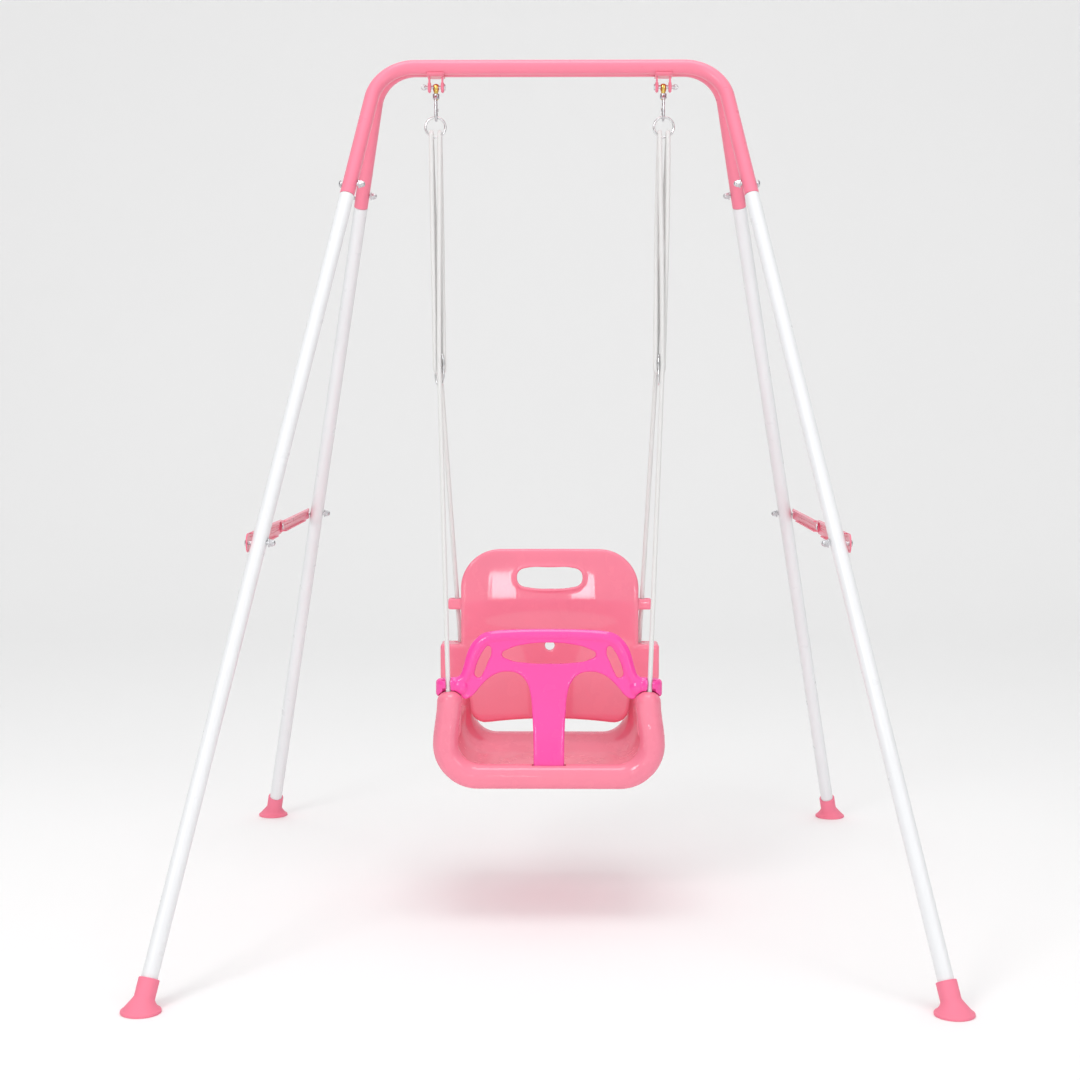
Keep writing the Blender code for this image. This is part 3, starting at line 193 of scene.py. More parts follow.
# Guard
STEM_HALF = 0.0230
STEM_LEVEL = 0.2400
GUARD_TILT = math.radians(4.1)
GUARD_Y = RAIL_Y
GUARD_FOOT = 0.2255
GUARD_HALF_T = 0.0050
GUARD_EDGE = 0.0022
GUARD_TUBE_R = 0.0087
GUARD_TOP = 0.4405
CAP_Y = -0.116
CAP_R = 0.0195
CAP_TOP = 0.3650
CAP_BOTTOM = 0.3375
CAP_EDGE = 0.0060
CAP_BORE_R = 0.0063
CAP_BORE_LOW = 0.322
CAP_BORE_HIGH = 0.3493
SHOULDER = Vector((0.1335, -0.1235, 0.3525))
SHOULDER_R = 0.0135
SEAT_GAP = 0.0010
SLOT_CLEAR = 0.0025
SLOT_AHEAD = 0.0070
SLOT_BEHIND = 0.0105
SLOT_UNDER = 0.0015
SLOT_TOP = 0.260

# Backrest. The boxes are two opposite corners on the right-hand side.
BACK_Y = 0.098
BACK_TOP = 0.5435
BACK_BOTTOM = 0.262
BACK_SIDE_FROM = 0.288
BACK_HALF = 0.143
BACK_CORNER = 0.063
BACK_LOW_CORNER = 0.026
BACK_LOW_HALF = 0.104
BACK_LOW_ROUND = 0.0245
BACK_T = 0.011
BACK_WRAP = 0.010
BACK_ARCH = 0.0055
BACK_ARCH_HALF = 0.100
BACK_ARCH_FADE = 0.060
BACK_EAR = ((0.1290, 0.0830, 0.3330), (0.1762, 0.1360, 0.3900))
BACK_LUG = ((0.1360, 0.0880, 0.4460), (0.1636, 0.1115, 0.4630))
BACK_POST_ROOM = ((0.1200, 0.0975, 0.300), (0.1700, 0.160, REAR_POST_TOP + 2 * GAP))
BACK_HOLE_Z = 0.387
BACK_HOLE_R = 0.0079
BACK_CUT_FROM = 0.060
BACK_CUT_TO = 0.130
BELT_SLOT_X = 0.0845
BELT_SLOT_HALF = 0.0028
BELT_SLOT_LOW = 0.352
BELT_SLOT_HIGH = 0.382
HANDLE_Z = 0.496
LIP_R = 0.0024

# Degrees from which an edge stays sharp
SHARP = 38.0

SIDES = (("left", -1.0), ("right", 1.0))
ENDS = (("front", -1.0), ("rear", 1.0))
QUARTER = math.pi / 2
ACROSS = Vector((1.0, 0.0, 0.0))
UP = Vector((0.0, 0.0, 1.0))

# Camera at the photograph's viewpoint

PHOTO_FOCAL_PX = 1930.0
PHOTO_WIDTH_PX = 1080.0
SENSOR_WIDTH = 36.0
LOOK_DOWN = 0.0786
LOOK_LEFT = 0.0105

camera_data = bpy.data.cameras.new("camera")
camera_data.sensor_width = SENSOR_WIDTH
camera_data.lens = SENSOR_WIDTH * PHOTO_FOCAL_PX / PHOTO_WIDTH_PX
camera = bpy.data.objects.new("camera", camera_data)
camera.location = (0.0168, -3.0, 0.8017)
camera.rotation_euler = (QUARTER - LOOK_DOWN, 0.0, LOOK_LEFT)
bpy.context.scene.collection.objects.link(camera)
bpy.context.scene.camera = camera


# Materials

class Shader:
    """The nodes that colour a material or the room, which start from one place node."""

    def __init__(self, owner, surface="Principled BSDF"):
        owner.use_nodes = True
        self.owner = owner
        self.tree = owner.node_tree
        self.surface = self.tree.nodes[surface]
        self.place = self.tree.nodes.new("ShaderNodeTexCoord")

    def set(self, **values):
        for key, value in values.items():
            self.surface.inputs[key.replace("_", " ")].default_value = value

    def link(self, source, socket_name):
        self.tree.links.new(source, self.surface.inputs[socket_name])

    def node(self, kind, inputs, **settings):
        made = self.tree.nodes.new(kind)
        for key, value in settings.items():
            setattr(made, key, value)
        for key, value in inputs.items():
            if isinstance(value, bpy.types.NodeSocket):
                self.tree.links.new(value, made.inputs[key])
            else:
                made.inputs[key].default_value = value
        return made

    def noise(self, scale, detail, roughness=0.5, stretch=None):
        """Noise laid in object space, so that it moves with its piece."""
        where = self.place.outputs["Object"]
        if stretch:
            where = self.node("ShaderNodeMapping", {"Vector": where, "Scale": stretch}).outputs[0]
        made = self.node("ShaderNodeTexNoise",
                         {"Vector": where, "Scale": scale, "Detail": detail, "Roughness": roughness})
        return made.outputs["Fac"]

    def math(self, operation, first, second=0.0):
        return self.node("ShaderNodeMath", {0: first, 1: second}, operation=operation).outputs[0]

    def spread(self, value, to_low, to_high, low=0.3, high=0.7):
        """Carries the range from low to high over to another range."""
        made = self.node("ShaderNodeMapRange", {"Value": value, "From Min": low, "From Max": high,
                                                "To Min": to_low, "To Max": to_high})
        return made.outputs[0]

    def tint(self, amount, colour, dark, light):
        """Colours the surface between a darker and a lighter shade of one colour."""
        inputs = {"Factor": amount, 6: shade(colour, dark), 7: shade(colour, light)}
        self.link(self.node("ShaderNodeMix", inputs, data_type="RGBA").outputs[2], "Base Color")

    def bump(self, height, distance, strength, **normal):
        inputs = {"Height": height, "Distance": distance, "Strength": strength}
        return self.node("ShaderNodeBump", {**inputs, **normal}).outputs[0]


def shade(colour, factor):
    return (*[min(c * factor, 1.0) for c in colour], 1.0)


def powder_coat(name, colour):
    """Gloss powder coat: fine orange peel, a faint drift in colour and in gloss."""
    made = Shader(bpy.data.materials.new(name))
    made.tint(made.spread(made.noise(9.0, 2.0), 0.0, 1.0), colour, 0.985, 1.015)
    made.link(made.spread(made.noise(45.0, 4.0), 0.27, 0.33), "Roughness")
    made.link(made.bump(made.noise(620.0, 2.0), 0.00005, 0.35), "Normal")
    made.set(Coat_Weight=0.25, Coat_Roughness=0.10, Specular_IOR_Level=0.35)
    return made.owner


def moulded(name, colour, gloss=0.24, polish=0.95):
    """Moulded plastic: slow waves from cooling, fine grain, and a polish that is weaker at its edges."""
    made = Shader(bpy.data.materials.new(name))
    made.tint(made.spread(made.noise(7.0, 3.0), 0.0, 1.0), colour, 0.955, 1.03)
    made.link(made.spread(made.noise(38.0, 5.0), gloss - 0.03, gloss + 0.06), "Roughness")
    grain = made.bump(made.noise(1100.0, 2.0), 0.00004, 0.25)
    made.link(made.bump(made.noise(26.0, 2.0), 0.00025, 0.30, Normal=grain), "Normal")
    turned_away = made.node("ShaderNodeLayerWeight", {"Blend": 0.5}).outputs["Facing"]
    made.link(made.spread(turned_away, polish, polish * 0.08, 0.35, 0.75), "Coat Weight")
    made.set(Coat_Roughness=0.035, Specular_IOR_Level=0.15)
    return made.owner


def plated(name, colour, low, high):
    """Zinc or brass: drawn along one way, with cloudy gloss and small pits."""
    made = Shader(bpy.data.materials.new(name))
    made.tint(made.spread(made.noise(160.0, 4.0), 0.0, 1.0, 0.35, 0.65), colour, 0.82, 1.08)
    made.link(made.spread(made.noise(420.0, 4.0), low, high), "Roughness")
    made.link(made.bump(made.noise(900.0, 3.0, 0.6, (1.0, 1.0, 0.15)), 0.00005, 0.4), "Normal")
    made.set(Metallic=1.0)
    return made.owner


def braided(name, colour):
    """Braided cord: strands cross left and right over each other, read from the rope's own map, with painted
    shade in the hollows between them.
    """
    strands_round = 8.0
    strand_length = 0.0042
    made = Shader(bpy.data.materials.new(name))
    split = made.node("ShaderNodeSeparateXYZ", {0: made.place.outputs["UV"]})
    around = made.math("MULTIPLY", split.outputs[0], strands_round)
    along = made.math("MULTIPLY", split.outputs[1], 1.0 / strand_length)
    rise = made.math("ADD", around, along)
    fall = made.math("SUBTRACT", around, along)
    right = made.math("ABSOLUTE", made.math("SINE", made.math("MULTIPLY", rise, math.pi)))
    left = made.math("ABSOLUTE", made.math("SINE", made.math("MULTIPLY", fall, math.pi)))
    parity = made.math("ADD", made.math("FLOOR", rise), made.math("FLOOR", fall))
    over = made.math("PINGPONG", parity, 1.0)
    height = made.math("ADD", made.math("MULTIPLY", right, over),
                       made.math("MULTIPLY", left, made.math("SUBTRACT", 1.0, over)))
    fibre = made.noise(2600.0, 2.0)
    # The cord is darker where the strands dip between crossings: painted shade in the hollows of the braid.
    made.tint(made.spread(height, 0.0, 1.0, 0.0, 0.8), colour, 0.80, 1.02)
    made.link(made.spread(fibre, 0.62, 0.82), "Roughness")
    relief = made.bump(height, 0.00032, 0.8)
    made.link(made.bump(fibre, 0.00006, 0.5, Normal=relief), "Normal")
    made.set(Sheen_Weight=0.35, Sheen_Roughness=0.45)
    return made.owner


def plain_floor(name):
    made = Shader(bpy.data.materials.new(name))
    made.tint(made.noise(1.2, 2.0), (1.0, 1.0, 1.0), 0.965, 0.98)
    made.link(made.spread(made.noise(8.0, 3.0), 0.80, 0.90), "Roughness")
    made.link(made.bump(made.noise(300.0, 2.0), 0.0001, 0.2), "Normal")
    return made.owner


PINK = (0.930, 0.235, 0.340)
LOOKS = {
    "coat": (powder_coat("pink_powder_coat", PINK), "pink_coat"),
    # The brace links have the same pink coat as the rest of the frame; this darker copy of it is painted
    # shade.
    "link": (powder_coat("shaded_pink_powder_coat", (0.900, 0.150, 0.255)), "pink_coat"),
    "leg": (powder_coat("white_powder_coat", (0.845, 0.855, 0.870)), "white_coat"),
    "moulded": (moulded("pink_moulding", PINK), "pink_plastic"),
    "boot": (moulded("pink_matt_moulding", PINK, 0.50, 0.05), "pink_plastic"),
    "guard": (moulded("magenta_moulding", (1.000, 0.070, 0.400)), "magenta_plastic"),
    "zinc": (plated("zinc_plate", (0.66, 0.66, 0.68), 0.22, 0.38), "zinc_steel"),
    "bright": (plated("bright_nickel", (0.78, 0.78, 0.79), 0.10, 0.20), "zinc_steel"),
    "brass": (plated("polished_brass", (0.80, 0.58, 0.16), 0.16, 0.28), "brass"),
    "rope": (braided("white_braid", (0.830, 0.830, 0.820)), "white_cord"),
}


# Mesh making

def mesh_of(build):
    bmesh.ops.recalc_face_normals(build, faces=build.faces[:])
    made = bpy.data.meshes.new("shape")
    build.to_mesh(made)
    build.free()
    return made


def full_turn(count):
    """Angles of so many even steps round a circle."""
    return [2 * math.pi * k / count for k in range(count)]


def circle(middle, across, ahead, radius, count):
    """Points round a middle, in the plane of two directions."""
    return [middle + across * radius * math.cos(t) + ahead * radius * math.sin(t) for t in full_turn(count)]


def arc(middle, half_axes, first, last, steps):
    """Points on an ellipse in the plane, from the first angle to the last."""
    made = []
    for i in range(steps + 1):
        turn = first + (last - first) * i / steps
        made.append((middle[0] + half_axes[0] * math.cos(turn), middle[1] + half_axes[1] * math.sin(turn)))
    return made


def rounded(points, per_span, cyclic=False):
    """A smooth curve through the points."""
    made = []
    count = len(points)
    for i in range(count if cyclic else count - 1):
        near = [i + k for k in (-1, 0, 1, 2)]
        p0, p1, p2, p3 = (points[n % count if cyclic else min(max(n, 0), count - 1)] for n in near)
        for j in range(per_span):
            t = j / per_span
            made.append(0.5 * (2 * p1 + (p2 - p0) * t + (2 * p0 - 5 * p1 + 4 * p2 - p3) * t * t
                               + (3 * p1 - p0 - 3 * p2 + p3) * t * t * t))
    return made if cyclic else made + [points[-1]]


def loft(rings, closed=False):
    """A solid through rings that have the same number of points."""
    build = bmesh.new()
    rows = [[build.verts.new(point) for point in ring] for ring in rings]
    count = len(rows[0])
    for row, after in zip(rows, rows[1:] + (rows[:1] if closed else [])):
        for i in range(count):
            j = (i + 1) % count
            build.faces.new((row[i], row[j], after[j], after[i]))
    if not closed:
        build.faces.new(rows[0])
        build.faces.new(rows[-1])
    return mesh_of(build)


def frames_along(points, cyclic=False):
    """A turning-free pair of side directions at each point of a path."""
    count = len(points)
    headings = []
    for i in range(count):
        before = points[i - 1] if cyclic or i else points[0]
        after = points[(i + 1) % count] if cyclic or i < count - 1 else points[-1]
        headings.append((after - before).normalized())
    first = Vector((1.0, 0.0, 0.0)) if abs(headings[0].x) < 0.9 else Vector((0.0, 1.0, 0.0))
    side = (first - headings[0] * first.dot(headings[0])).normalized()
    made = []
    for i, heading in enumerate(headings):
        if i:
            side = headings[i - 1].rotation_difference(heading) @ side
            side = (side - heading * side.dot(heading)).normalized()
        made.append((side, heading.cross(side)))
    return made


def sweep(points, radius, sides, cyclic=False, mapped=False):
    """A round rod through the points. When mapped, u runs round it and v along it in metres."""
    points = [Vector(p) for p in points]
    build = bmesh.new()
    rows = []
    for point, (side, up) in zip(points, frames_along(points, cyclic)):
        rows.append([build.verts.new(p) for p in circle(point, side, up, radius, sides)])
    layer = build.loops.layers.uv.new("UVMap") if mapped else None
    runs = [0.0]
    for a, b in zip(points, points[1:] + points[:1]):
        runs.append(runs[-1] + (b - a).length)
    last = len(rows) if cyclic else len(rows) - 1
    for i in range(last):
        row, after = rows[i], rows[(i + 1) % len(rows)]
        for k in range(sides):
            n = (k + 1) % sides
            face = build.faces.new((row[k], row[n], after[n], after[k]))
            if layer:
                corners = ((k, i), (k + 1, i), (k + 1, i + 1), (k, i + 1))
                for loop, (u, v) in zip(face.loops, corners):
                    loop[layer].uv = (u / sides, runs[v])
    if not cyclic:
        build.faces.new(rows[0])
        build.faces.new(rows[-1])
    return mesh_of(build)


def pipe(points, outer, inner, sides, edge=0.0003):
    """A tube with a wall and slightly rounded ends."""
    frames = frames_along(points)
    ahead = (points[1] - points[0]).normalized()
    behind = (points[-1] - points[-2]).normalized()

    def ring(i, radius, slide=Vector()):
        return circle(points[i] + slide, *frames[i], radius, sides)

    final = len(points) - 1
    rings = [ring(0, outer - edge), ring(0, outer, ahead * edge)]
    rings += [ring(i, outer) for i in range(1, final)]
    rings += [ring(final, outer, -behind * edge), ring(final, outer - edge)]
    rings += [ring(final, inner)]
    rings += [ring(i, inner) for i in range(final - 1, 0, -1)]
    rings += [ring(0, inner)]
    return loft(rings, closed=True)


def lathe(profile, start, axis, steps, closed=False):
    """A turned shape: profile is (distance along the axis, radius)."""
    turn = Vector(axis).to_track_quat("Z", "Y").to_matrix().to_4x4()
    place = Matrix.Translation(Vector(start)) @ turn
    build = bmesh.new()
    rows = []
    for along, radius in profile:
        rows.append([build.verts.new(place @ Vector((radius * math.cos(t), radius * math.sin(t), along)))
                     for t in full_turn(steps)])
    for row, after in zip(rows, rows[1:] + (rows[:1] if closed else [])):
        for k in range(steps):
            n = (k + 1) % steps
            build.faces.new((row[k], row[n], after[n], after[k]))
    bmesh.ops.remove_doubles(build, verts=build.verts[:], dist=0.0000005)
    bmesh.ops.dissolve_degenerate(build, edges=build.edges[:], dist=0.0000005)
    return mesh_of(build)


def box(low, high, bevel=0.0, segments=3):
    build = bmesh.new()
    bmesh.ops.create_cube(build, size=1.0)
    size = Vector(high) - Vector(low)
    middle = (Vector(high) + Vector(low)) / 2
    build.transform(Matrix.Translation(middle) @ Matrix.Diagonal((*size, 1.0)))
    if bevel:
        bmesh.ops.bevel(build, geom=build.edges[:], offset=bevel, segments=segments, profile=0.5,
                        affect="EDGES")
    return mesh_of(build)


def rod(start, end, radius, sides):
    return sweep([start, end], radius, sides)


def ball(middle, radius, squash):
    build = bmesh.new()
    bmesh.ops.create_uvsphere(build, u_segments=28, v_segments=18, radius=radius)
    build.transform(Matrix.Translation(middle) @ Matrix.Diagonal((*squash, 1.0)))
    return mesh_of(build)


def together(*meshes):
    """Several meshes as one."""
    build = bmesh.new()
    for mesh in meshes:
        build.from_mesh(mesh)
    made = bpy.data.meshes.new("together")
    build.to_mesh(made)
    build.free()
    return made


def shaped(mesh, steps):
    """The mesh after a list of (modifier type, settings), where a Boolean's settings hold its mesh."""
    obj = bpy.data.objects.new("shaping", mesh)
    bpy.context.scene.collection.objects.link(obj)
    others = []
    for kind, settings in steps:
        modifier = obj.modifiers.new(kind.title(), kind)
        for key, value in settings.items():
            if key == "mesh":
                other = bpy.data.objects.new("cutter", value)
                bpy.context.scene.collection.objects.link(other)
                others.append(other)
                modifier.solver = "EXACT"
                modifier.object = other
            else:
                setattr(modifier, key, value)
    graph = bpy.context.evaluated_depsgraph_get()
    made = bpy.data.meshes.new_from_object(obj.evaluated_get(graph))
    for gone in [obj, *others]:
        bpy.data.objects.remove(gone)
    return made


def cut(mesh):
    return ("BOOLEAN", {"operation": "DIFFERENCE", "mesh": mesh})


def grow(mesh):
    return ("BOOLEAN", {"operation": "UNION", "mesh": mesh})


def drill(middle, reach, radius, sides):
    """A round hole that runs as far both ways from its middle."""
    return cut(rod(middle - reach, middle + reach, radius, sides))


def round_edges(obj, width, sharp):
    bevel = obj.modifiers.new("Edges", "BEVEL")
    bevel.width = width
    bevel.segments = 2
    bevel.limit_method = "ANGLE"
    bevel.angle_limit = math.radians(sharp)
    bevel.harden_normals = True


def piece(name, mesh, look, body, replaces=(), sharp=SHARP, soften=0.0):
    """A visible piece in place, on its body, with its finish."""
    mesh.name = name
    mesh.materials.clear()
    material, slot = LOOKS[look]
    mesh.materials.append(material)
    mesh.shade_smooth()
    mesh.set_sharp_from_angle(angle=math.radians(sharp))
    obj = bpy.data.objects.new(name, mesh)
    bpy.context.scene.collection.objects.link(obj)
    if soften:
        round_edges(obj, soften, sharp)
    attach(obj, body)
    if replaces:
        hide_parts(*replaces)
    return obj


def keep(node, look, soften):
    """A model node that stays, with its finish and lightly rounded edges."""
    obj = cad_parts[node]
    material, slot = LOOKS[look]
    obj.data.materials.clear()
    obj.data.materials.append(material)
    weld = obj.modifiers.new("Weld", "WELD")
    weld.merge_threshold = 0.000002
    round_edges(obj, soften, SHARP)


# Ropes, which run front knot, ring, adjuster, ring, rear knot

def ease(t):
    """A smooth step from 0 to 1."""
    return t * t * (3 - 2 * t)


def flow(stations, at, level=False):
    """Reads a value from (position, value) stations. The curve never overshoots them, and when level it is
    flat at each of them."""
    if at <= stations[0][0]:
        return stations[0][1]
    slopes = [(v1 - v0) / (p1 - p0) for (p0, v0), (p1, v1) in zip(stations, stations[1:])]
    leans = [0.0]
    for before, after in zip(slopes, slopes[1:]):
        leans.append(2 * before * after / (before + after) if before * after > 0 and not level else 0.0)
    leans.append(0.0)
    for (p0, v0), (p1, v1), lean0, lean1 in zip(stations, stations[1:], leans, leans[1:]):
        if at <= p1:
            t = (at - p0) / (p1 - p0)
            bow = (p1 - p0) * t * (1 - t)
            return v0 + (v1 - v0) * ease(t) + bow * (lean0 * (1 - t) - lean1 * t)
    return stations[-1][1]


def strand(side_name, side, z, u, v):
    """A point of the doubled rope: u is -1 or 1 across the pair, v is -1 in front of it and 1 behind it."""
    t = min(max((STRAND_TOP - z) / (STRAND_TOP - ADJUSTER_Z), 0.0), 1.0)
    turn = ADJUSTER_TURN[side_name] * t * side
    across = flow([(0.0, ROPE_APART_AT_RING), (1.0, ROPE_APART_AT_BAR)], t) * u
    ahead = flow([(0.0, ROPE_OVER_RING), (1.0, ROPE_OVER_BAR)], t) * v
    middle = side * (RING_X + (ADJUSTER_X - RING_X) * t)
    return Vector((middle + across * math.cos(turn) - ahead * math.sin(turn),
                   across * math.sin(turn) + ahead * math.cos(turn), z))


def rope_route(side_name, side):
    count = 24
    fine = 14
    low = ADJUSTER_Z + 0.003
    levels = [low + (STRAND_TOP - 0.002 - low) * i / count for i in range(count + 1)]
    half_turns = [math.pi * i / fine for i in range(1, fine)]

    def over_ring(u):
        middle = strand(side_name, side, STRAND_TOP, u, 0.0)
        return [middle + Vector((0.0, -ROPE_OVER_RING * math.cos(t), ROPE_OVER_RING * math.sin(t)))
                for t in half_turns]

    front = Vector((side * FRONT_HOLE.x, FRONT_HOLE.y, 0.0))
    rear = Vector((side * REAR_HOLE.x, REAR_HOLE.y, 0.0))
    points = [front + UP * (FRONT_POCKET_TOP - KNOT_DROP), front + UP * FRONT_BORE_TOP]
    points.append(Vector((front.x, front.y + 0.0006, FRONT_HOLE.z)))
    points += [strand(side_name, side, z, -side, -1.0) for z in levels]
    points += over_ring(-side)
    points += [strand(side_name, side, z, -side, 1.0) for z in levels[::-1]]
    for turn in half_turns:
        low_point = strand(side_name, side, ADJUSTER_Z + 0.001, -side * math.cos(turn), math.cos(turn))
        points.append(low_point - UP * ROPE_UNDER_BAR * math.sin(turn))
    points += [strand(side_name, side, z, side, -1.0) for z in levels]
    points += over_ring(side)
    points += [strand(side_name, side, z, side, 1.0) for z in levels[::-1]]
    points.append(Vector((rear.x, rear.y - 0.0006, REAR_HOLE.z)))
    points += [rear + UP * REAR_BORE_TOP, rear + UP * (REAR_POCKET_TOP - KNOT_DROP)]
    return points


def knot(name, centre):
    """An overhand knot drawn tight: three bights round a ball."""
    loops = []
    for tilt in (0.0, 60.0, 120.0):
        spin = Matrix.Rotation(math.radians(tilt), 3, "Z") @ Matrix.Rotation(math.radians(62), 3, "X")
        flat = [Vector((math.cos(t), math.sin(t), 0.0)) * KNOT_LOOP_R for t in full_turn(28)]
        ring = [centre + spin @ point for point in flat]
        loops.append(sweep(ring, KNOT_STRAND_R, 12, cyclic=True, mapped=True))
    return piece(name, together(*loops), "rope", "swing")


for side_name, side in SIDES:
    route = rope_route(side_name, side)
    rope = piece(f"{side_name}_braided_rope", sweep(route, ROPE_R, 24, mapped=True), "rope", "swing",
                 [f"{side_name}_rope"], sharp=60.0)
    knots = [knot(f"{side_name}_front_knot", route[0]), knot(f"{side_name}_rear_knot", route[-1])]


# Frame tubes, feet and fasteners

def on_frame(end, along, x):
    return Vector((x, end * (BAR_HALF_SPACING + along * math.sin(LEAN)), BAR_Z - along * math.cos(LEAN)))


def leg_x(along):
    turn = QUARTER - SPLAY
    return TOP_HALF + BEND_R * math.sin(turn) + math.tan(SPLAY) * (along - BEND_R * (1 - math.cos(turn)))


def leg_point(end, side, along):
    return on_frame(end, along, side * leg_x(along))


def arch_path(end, reach):
    half = arc((TOP_HALF, BEND_R), (BEND_R, BEND_R), -QUARTER, -SPLAY, 28)
    half.append((leg_x(reach), reach))
    left = [(-x, along) for x, along in reversed(half)]
    return [on_frame(end, along, x) for x, along in left + half]


def foot_mesh(end, side):
    """A foot: flat sole, rounded lip, a flare that turns to the leg's lean, and a sleeve round the leg."""
    middle = leg_point(end, side, LEG_FOOT)
    up = (leg_point(end, side, 1.0) - middle).normalized()

    def ring(centre, normal, radius):
        ahead = normal.cross(ACROSS).normalized()
        across = ahead.cross(normal).normalized()
        return circle(centre, across, ahead, radius, 56)

    sole, lip = FOOT_SOLE_EDGE, FOOT_LIP_EDGE
    edge = arc((FOOT_R - sole, sole), (sole, sole), -QUARTER, 0.0, 4)
    edge += arc((FOOT_R - lip, FOOT_LIP - lip), (lip, lip), 0.0, QUARTER, 4)
    rings = [ring(middle, UP, FOOT_MIDDLE_R)]
    rings += [ring(middle + UP * height, UP, radius) for radius, height in edge]
    steps = 14
    for i in range(1, steps + 1):
        t = i / steps
        centre = (middle + UP * FOOT_LIP).lerp(middle + up * FOOT_FLARE_TOP, t)
        radius = FOOT_SLEEVE_R + (FOOT_R - lip - FOOT_SLEEVE_R) * (1 - t) ** FOOT_FLARE_POWER
        rings.append(ring(centre, UP.lerp(up, t).normalized(), radius))
    sleeve = ((FOOT_SLEEVE_TOP - 0.0012, FOOT_SLEEVE_R), (FOOT_SLEEVE_TOP - 0.0003, FOOT_SLEEVE_R - 0.0004),
              (FOOT_SLEEVE_TOP, FOOT_SLEEVE_R - 0.0010), (FOOT_SLEEVE_TOP, TUBE_R + GAP),
              (FOOT_SEAT, TUBE_R + GAP))
    rings += [ring(middle + up * height, up, radius) for height, radius in sleeve]
    return loft(rings)


def bolt_mesh(point, side, outer, inner):
    """A button-head screw with a hexagon socket."""
    length = outer + inner
    dome = arc((length, 0.0), (HEAD_T, HEAD_R), QUARTER, math.radians(30), 5)
    profile = [(0.0, 0.0), (0.0, SHANK_R - 0.0005), (0.0005, SHANK_R), (length, SHANK_R),
               (length, HEAD_R - 0.0003), *dome, (length + HEAD_T * 0.96, 0.0)]
    body = lathe(profile, point - ACROSS * side * inner, (side, 0.0, 0.0), 32)
    face = point + ACROSS * side * (outer + HEAD_T * 0.45)
    socket = rod(face, face + ACROSS * side * 0.004, SOCKET_R, 6)
    return shaped(body, [cut(socket)])


def nut_mesh(point, side, from_tube):
    """A washer, a chamfered hexagon and a dome."""
    axis = Vector((-side, 0.0, 0.0))
    start = point + axis * from_tube
    washer = lathe([(0.0, SHANK_R), (0.0, WASHER_R - 0.0002), (0.0002, WASHER_R),
                    (WASHER_T - 0.0002, WASHER_R), (WASHER_T, WASHER_R - 0.0002), (WASHER_T, SHANK_R)],
                   start, axis, 40, closed=True)
    base = start + axis * WASHER_T
    prism = rod(base, base + axis * HEX_T, HEX_R, 6)
    cone = lathe([(-0.0005, 0.0), (-0.0005, HEX_R - 0.0006), (0.0004, HEX_R), (HEX_T - 0.0007, HEX_R),
                  (HEX_T + 0.0002, HEX_R - 0.0012), (HEX_T + 0.0002, 0.0)], base, axis, 40)
    hexagon = shaped(prism, [("BOOLEAN", {"operation": "INTERSECT", "mesh": cone})])
    dome = arc((HEX_T + DOME_STEP, 0.0), (DOME_T - DOME_STEP, DOME_R), QUARTER, 0.0, 6)
    cap = [(HEX_T - 0.0002, 0.0), (HEX_T - 0.0002, DOME_R), *dome]
    return together(washer, hexagon, lathe(cap, base, axis, 32))


for end_name, end in ENDS:
    body = f"frame_{end_name}"
    arch = pipe(arch_path(end, ARM_END), TUBE_R, BORE_R, 48)
    piece(f"{end_name}_arch", arch, "coat", body, [f"{end_name}_arch_tube"])
    for side_name, side in SIDES:
        label = f"{end_name}_{side_name}"
        top = leg_point(end, side, ARM_END + GAP - TIP_LENGTH)
        bottom = leg_point(end, side, LEG_FOOT)
        down = (bottom - top).normalized()
        length = (bottom - top).length - FOOT_SEAT - GAP
        shoulder = (leg_point(end, side, ARM_END + GAP) - top).length
        bolt = leg_point(end, side, BRACE_BOLT)
        bolt_at = (bolt - top).length
        profile = [(0.0, TIP_R), (shoulder, TIP_R), (shoulder + 0.0004, TUBE_R - 0.0004),
                   (shoulder + 0.0009, TUBE_R), (bolt_at - BOLT_MARGIN, TUBE_R),
                   (bolt_at + BOLT_MARGIN, TUBE_R), (length, TUBE_R), (length, BORE_R),
                   (bolt_at + BOLT_MARGIN, BORE_R), (bolt_at - BOLT_MARGIN, BORE_R),
                   (shoulder + 0.004, BORE_R), (shoulder, TIP_BORE_R), (0.0, TIP_BORE_R)]
        tube = lathe(profile, top, down, 48, closed=True)
        drilled = shaped(tube, [drill(bolt, ACROSS * DRILL_REACH, BOLT_HOLE_R, 24)])
        piece(f"{label}_white_leg", drilled, "leg", body, [f"{label}_leg"])
        piece(f"{label}_boot", foot_mesh(end, side), "boot", body, [f"{label}_foot"])
        splice = leg_point(end, side, SPLICE_BOLT)
        piece(f"{label}_splice_screw", bolt_mesh(splice, side, TUBE_CLEAR, NUT_REACH), "zinc", body,
              [f"{label}_splice_bolt"])
        piece(f"{label}_splice_acorn", nut_mesh(splice, side, TUBE_CLEAR), "zinc", body,
              [f"{label}_splice_nut"])


# Side braces

